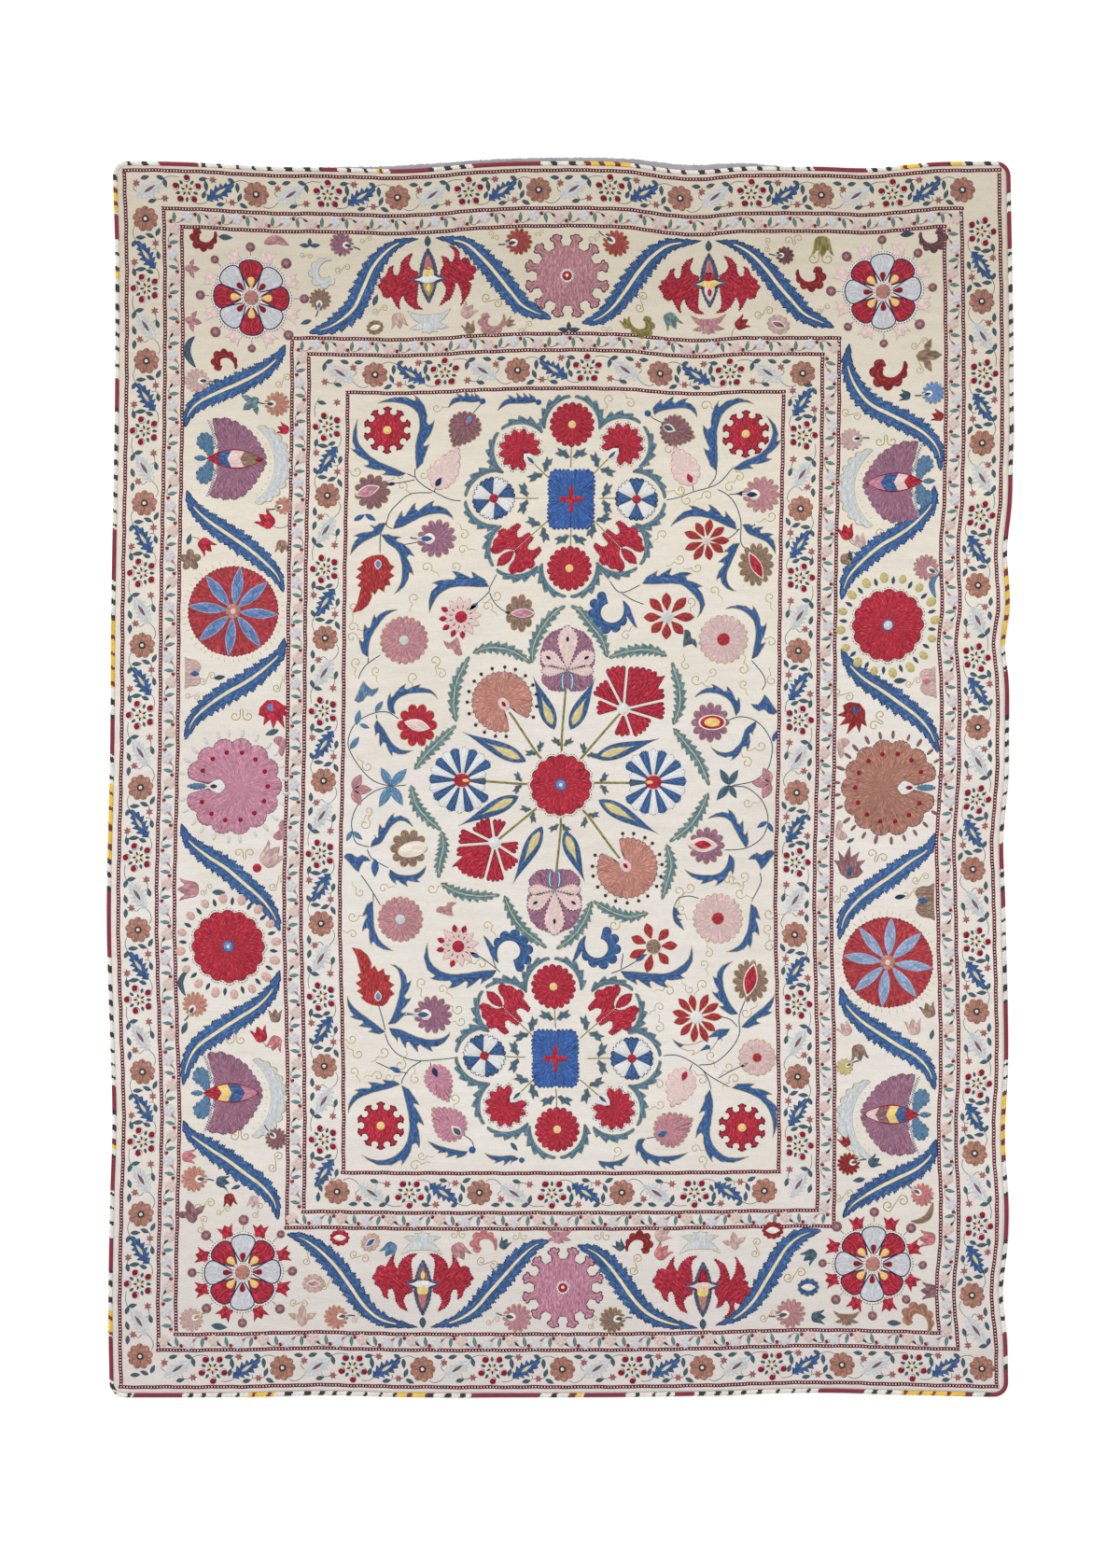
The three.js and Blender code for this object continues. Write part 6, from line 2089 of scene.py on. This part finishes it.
def featherFan(work, spot, rng, share):  # red fingers with scalloped ends, the broadest along +x
    gap = 1.2
    for low, high, reach, corner in ((-37, 35, 45, 8), (35, 67, 46, 1), (67, 106, 36, 1), (106, 146, 27, 1),
                                     (-67, -37, 43, 1), (-121, -67, 31, 1), (-164, -121, 27, 1)):
        reach = reach * share
        scallops = max(3, round((high - low) * reach / 330))
        place = np.linspace(-1, 1, scallops * 8 + 1)
        scalloped = 2.6 * np.abs(np.sin((place + 1) * scallops * math.pi / 2)) ** 0.6
        ends = reach + corner * (1 - np.abs(place)) + scalloped
        if corner > 1:  # the hooked tip
            ends += 7 * np.exp(-((place + 0.3) / 0.07) ** 2) - 5 * np.exp(-((place + 0.5) / 0.09) ** 2)
        middle, half = math.radians(low + high) / 2, math.radians(high - low) / 2
        angle = middle + place * (half - math.asin(gap / reach))
        inner = middle + np.array([-1, 1]) * (half - math.asin(gap / 7))
        edge = polar(ends, angle)
        foot = 7 * np.stack([np.cos(inner), np.sin(inner)], axis=1)
        flow = math.degrees(middle)
        fillAny(work, spot, np.concatenate([foot[:1], edge, foot[1:]]),
                thread["crimson"] * rng.uniform(0.95, 1.05), rim=thread["wine"], rimWidth=0.8, flow=flow)
        border = math.radians(high)
        line = np.array([7, reach * 0.85])[:, None] * (math.cos(border), math.sin(border))
        dashed(work, spot, line, max(5, int(reach / 4)), 1.0, "white", "cream")
    fillShape(work, spot, lobed(1, 6.0, 0.0, 16, squash=0.8), thread["white"], level=1)


def lilyPalmette(work, spot, rng):  # upright, stem below
    body = mirrored([(0, -30), (8, -33), (20, -30), (27, -20), (24, -14), (28, -2), (27, 12), (22, 24),
                     (12, 31), (0, 33)])
    fillShape(work, spot, shaggy(rng, smoothLine(body, 3, closed=True), 56, 1.1, 18, 1.2),
              thread["violet"], centre=(0, -2), rim=thread["violet"] * 0.75)
    for turn, long, half in ((90, 48, 10.5), (33, 34, 8.5), (147, 34, 8.5), (-2, 28, 6), (182, 28, 6)):
        here = shifted(spot, 0, -11, turn)
        side = [(1, 0), (1.2, 1.2), (long * 0.3, half * 0.55), (long * 0.6, half), (long * 0.8, half * 0.9),
                (long * 0.92, half * 0.5), (long, 0)]
        petal = smoothLine(doubled(side), 3, closed=True)
        fillAny(work, here, petal, thread["blush"], level=1, rimWidth=0.7)
        dashed(work, here, looped(petal), 24, 0.5, "navy", "blush", level=2)
        if long > 30:
            fillShape(work, shifted(here, long * 0.62, 0), leafOutline(7, 3.6, 7), thread["navy"], level=2,
                      flow=0)
    for side in (1, -1):
        leaf = smoothLine(placesOf("1.5,-12 5,-18 5,-28 3,-34"), 4) * (side, 1)
        ribbon(work, spot, leaf, 2.3 * np.sin(np.linspace(0.15, math.pi, len(leaf))) ** 0.6,
               thread["steel"], level=2)
        ribbon(work, spot, leaf[2:-2], 0.8, thread["white"], level=3)


def tearDrop(work, tip, foot):
    ends = chartLine([tip, foot])
    across = ends[1] - ends[0]
    length = float(np.linalg.norm(across))
    spot = spotFlat(*(ends[0] * chart["stitchMm"]), math.atan2(across[1], across[0]))
    share = np.linspace(0, 1, 21)

    def drop(start, end, width):
        half = width / 2 * np.sin(math.pi * share ** 1.8) ** 0.75
        return doubled(np.stack([start + share * (end - start), half], axis=1))

    fillAny(work, spot, drop(0, length, 17), thread["royal"],
            rim=thread["gold"] * 0.5 + thread["navy"] * 0.5)
    fillAny(work, spot, drop(length * 0.36, length * 0.92, 9.8), thread["olive"], level=1)
    fillAny(work, spot, drop(length * 0.39, length * 0.905, 8.2),
            thread["straw"] * 0.6 + thread["sand"] * 0.4, level=2)


def middleMedallion(work, rng):
    middle = (601, 841)
    flowers = [("fan", 495, 836), ("fan", 700, 838), ("salmon", 538, 752), ("salmon", 672, 930),
               ("feather", 668, 760), ("feather", 530, 903), ("palmette", 608, 707), ("palmette", 594, 965)]
    for drop in ("571,724 594,782", "638,726 611,782", "495,784 564,816", "707,791 637,812",
                 "491,885 556,853", "706,894 641,857", "549,948 581,885", "627,946 605,890"):
        tearDrop(work, *placesOf(drop))
    for kind, across, down in flowers:
        spot, reach = outFrom(middle, across, down)
        stem(work, spot, [(-reach + 34, 0), (-reach * 0.6, 1.0), (-28 if kind != "feather" else -6, 0),
                          (-12 if kind == "salmon" else -6, 0)], "olive", 1.4)
        leafPair(work, spot, -reach + 42, 0.9, 48)
        if kind == "fan":
            stripedFan(work, spot)
        elif kind == "salmon":
            dottedCarnation(work, spot, rng)
        elif kind == "feather":
            featherFan(work, spot, rng, 0.96 if down < middle[1] else 0.84)
        else:
            lilyPalmette(work, spotAt(across, down, 0 if down < middle[1] else 180), rng)
    lobedRound(work, spotAt(*middle), rng, 33.5, 16, "sky", None)


rng = np.random.default_rng(31)
fieldWork, medallionWork = newStitching(), newStitching()
for row in field["leaves"]:
    acanthus(fieldWork, *row)
for text in field["sprays"]:
    spray(medallionWork, text)
for text in field["stems"]:
    ribbon(fieldWork, homeSpot, smoothLine(chartLine(placesOf(text)), 5), 0.85, thread["darkTeal"],
           height=0.6)
for across, down in placesOf(field["curls"]):
    spot = spotAt(across, down, rng.uniform(0, 360), rng.uniform(0.95, 1.2), rng.choice([-1, 1]))
    ribbon(fieldWork, spot, np.concatenate([spiral((0, 0), 1.2, 5.6, 0, 400, 18),
                                            [(9.5, 6.5), (11.0, 12.5)]]), 0.62,
           thread["gold"], height=0.5)
for across, down, turn, length, tint in field["smallLeaves"]:
    smallLeaf(fieldWork, spotAt(across, down), 0, 0, turn, length, length * 0.42, tint)
for across, down, turn, size, tint, side in field["bells"]:
    bell(fieldWork, spotAt(across, down, turn, size, side), tint, "gold")
for across, down, radius in field["balls"]:
    disc(fieldWork, spotAt(across, down), 0, 0, radius, "royal")
for across, down in field["cogs"]:
    cogRosette(fieldWork, spotAt(across, down), "crimson", 10, 26, "yellow", False, "wine")
for across, down, turn, *rest in field["buds"]:
    bud(fieldWork, spotAt(across, down, turn), *rest)
for across, down, turn, radius, petals, tint, drop in field["scallops"]:
    mum(fieldWork, spotAt(across, down, turn), tint, "gold", radius, petals, drop)
for across, down, *rest in field["ovals"]:
    ovalFlower(fieldWork, spotAt(across, down), *rest)
for across, down, *rest in field["stars"]:
    petalStar(fieldWork, spotAt(across, down), rng, *rest)
for across, down, *rest in field["mums"]:
    roundMum(fieldWork, spotAt(across, down), *rest)
tippedStar(fieldWork, spotAt(494, 661, 5), rng, (5, 6, 7, 8, 9))
tippedStar(fieldWork, spotAt(491, 1014, 10), rng, (2, 3, 5, 6, 8))
tongue(fieldWork, spotAt(405, 611, 0, 1.0, -1))
tongue(fieldWork, spotAt(405, 1061, 0, 1.0, 1))
for across, down, turn, mirror in ((654, 655, 0, 1), (641, 1014, 180, -1), (547, 1020, 180, 1)):
    hookedCurl(fieldWork, spotAt(across, down, turn, 1.0, mirror))
halfTulip(fieldWork, spotAt(381, 846))
halfTulip(fieldWork, spotAt(823, 839, 180))
middleMedallion(medallionWork, rng)
smallMedallion(medallionWork, rng, (612, 535), 32, [
    ("ragged", 613, 455), ("ragged", 610, 609), ("sector", 529, 534), ("sector", 682, 535),
    ("carnation", 557, 482), ("carnation", 667, 476), ("lily", 553, 588), ("lily", 663, 585)])
smallMedallion(medallionWork, rng, (595, 1134), 31, [
    ("ragged", 593, 1057), ("ragged", 597, 1210), ("sector", 519, 1131), ("sector", 677, 1134),
    ("lily", 541, 1081), ("lily", 657, 1082), ("carnation", 542, 1185), ("carnation", 658, 1188)])
embroidery += [sewn("fieldStems", fieldWork), sewn("medallions", medallionWork)]


# Photographed from straight above in soft even light, on a white surface
stageSetup = {"lens": 85.0, "viewMm": 3360.0, "viewDown": 840.0, "skyStrength": 0.72, "sunStrength": 1.5,
              "sunTurn": (38.0, -24.0), "sunAngle": 25, "sensorMm": 36.0, "clipEnd": 50, "floorSize": 100,
              "floorDrop": -0.0004}


def plainFloor():
    bpy.ops.object.select_all(action="DESELECT")
    bpy.ops.mesh.primitive_plane_add(size=stageSetup["floorSize"], location=(0, 0, 0))
    floor = bpy.context.object
    floor.name = "paleFloor"
    for vertex in floor.data.vertices:
        vertex.co.z = stageSetup["floorDrop"]
    floor.data.materials.append(floorMaterial())
    return floor


def addLight():
    sun = bpy.data.lights.new("skylight", "SUN")
    sun.energy = stageSetup["sunStrength"]
    sun.angle = math.radians(stageSetup["sunAngle"])
    lamp = bpy.data.objects.new("skylight", sun)
    tilt, lean = stageSetup["sunTurn"]
    lamp.rotation_euler = (math.radians(-tilt), math.radians(lean), 0)
    bpy.context.collection.objects.link(lamp)
    world = bpy.context.scene.world or bpy.data.worlds.new("room")
    bpy.context.scene.world = world
    world.use_nodes = True
    sky = world.node_tree.nodes["Background"]
    sky.inputs["Color"].default_value = (1, 1, 1, 1)
    sky.inputs["Strength"].default_value = stageSetup["skyStrength"]


def addCamera():
    camera = bpy.data.cameras.new("camera")
    camera.lens = stageSetup["lens"]
    camera.sensor_fit = "VERTICAL"
    camera.sensor_height = stageSetup["sensorMm"]
    camera.clip_end = stageSetup["clipEnd"]
    holder = bpy.data.objects.new("camera", camera)
    down = (chart["middleDown"] - stageSetup["viewDown"]) * chart["stitchMm"]
    distance = stageSetup["viewMm"] * camera.lens / stageSetup["sensorMm"]
    holder.location = (frameShift[0] / 1000, (down + frameShift[1]) / 1000, distance / 1000)
    bpy.context.collection.objects.link(holder)
    bpy.context.scene.camera = holder


plainFloor()
addLight()
addCamera()
bpy.context.scene.view_settings.view_transform = "Standard"
print("suzani: stage ready")
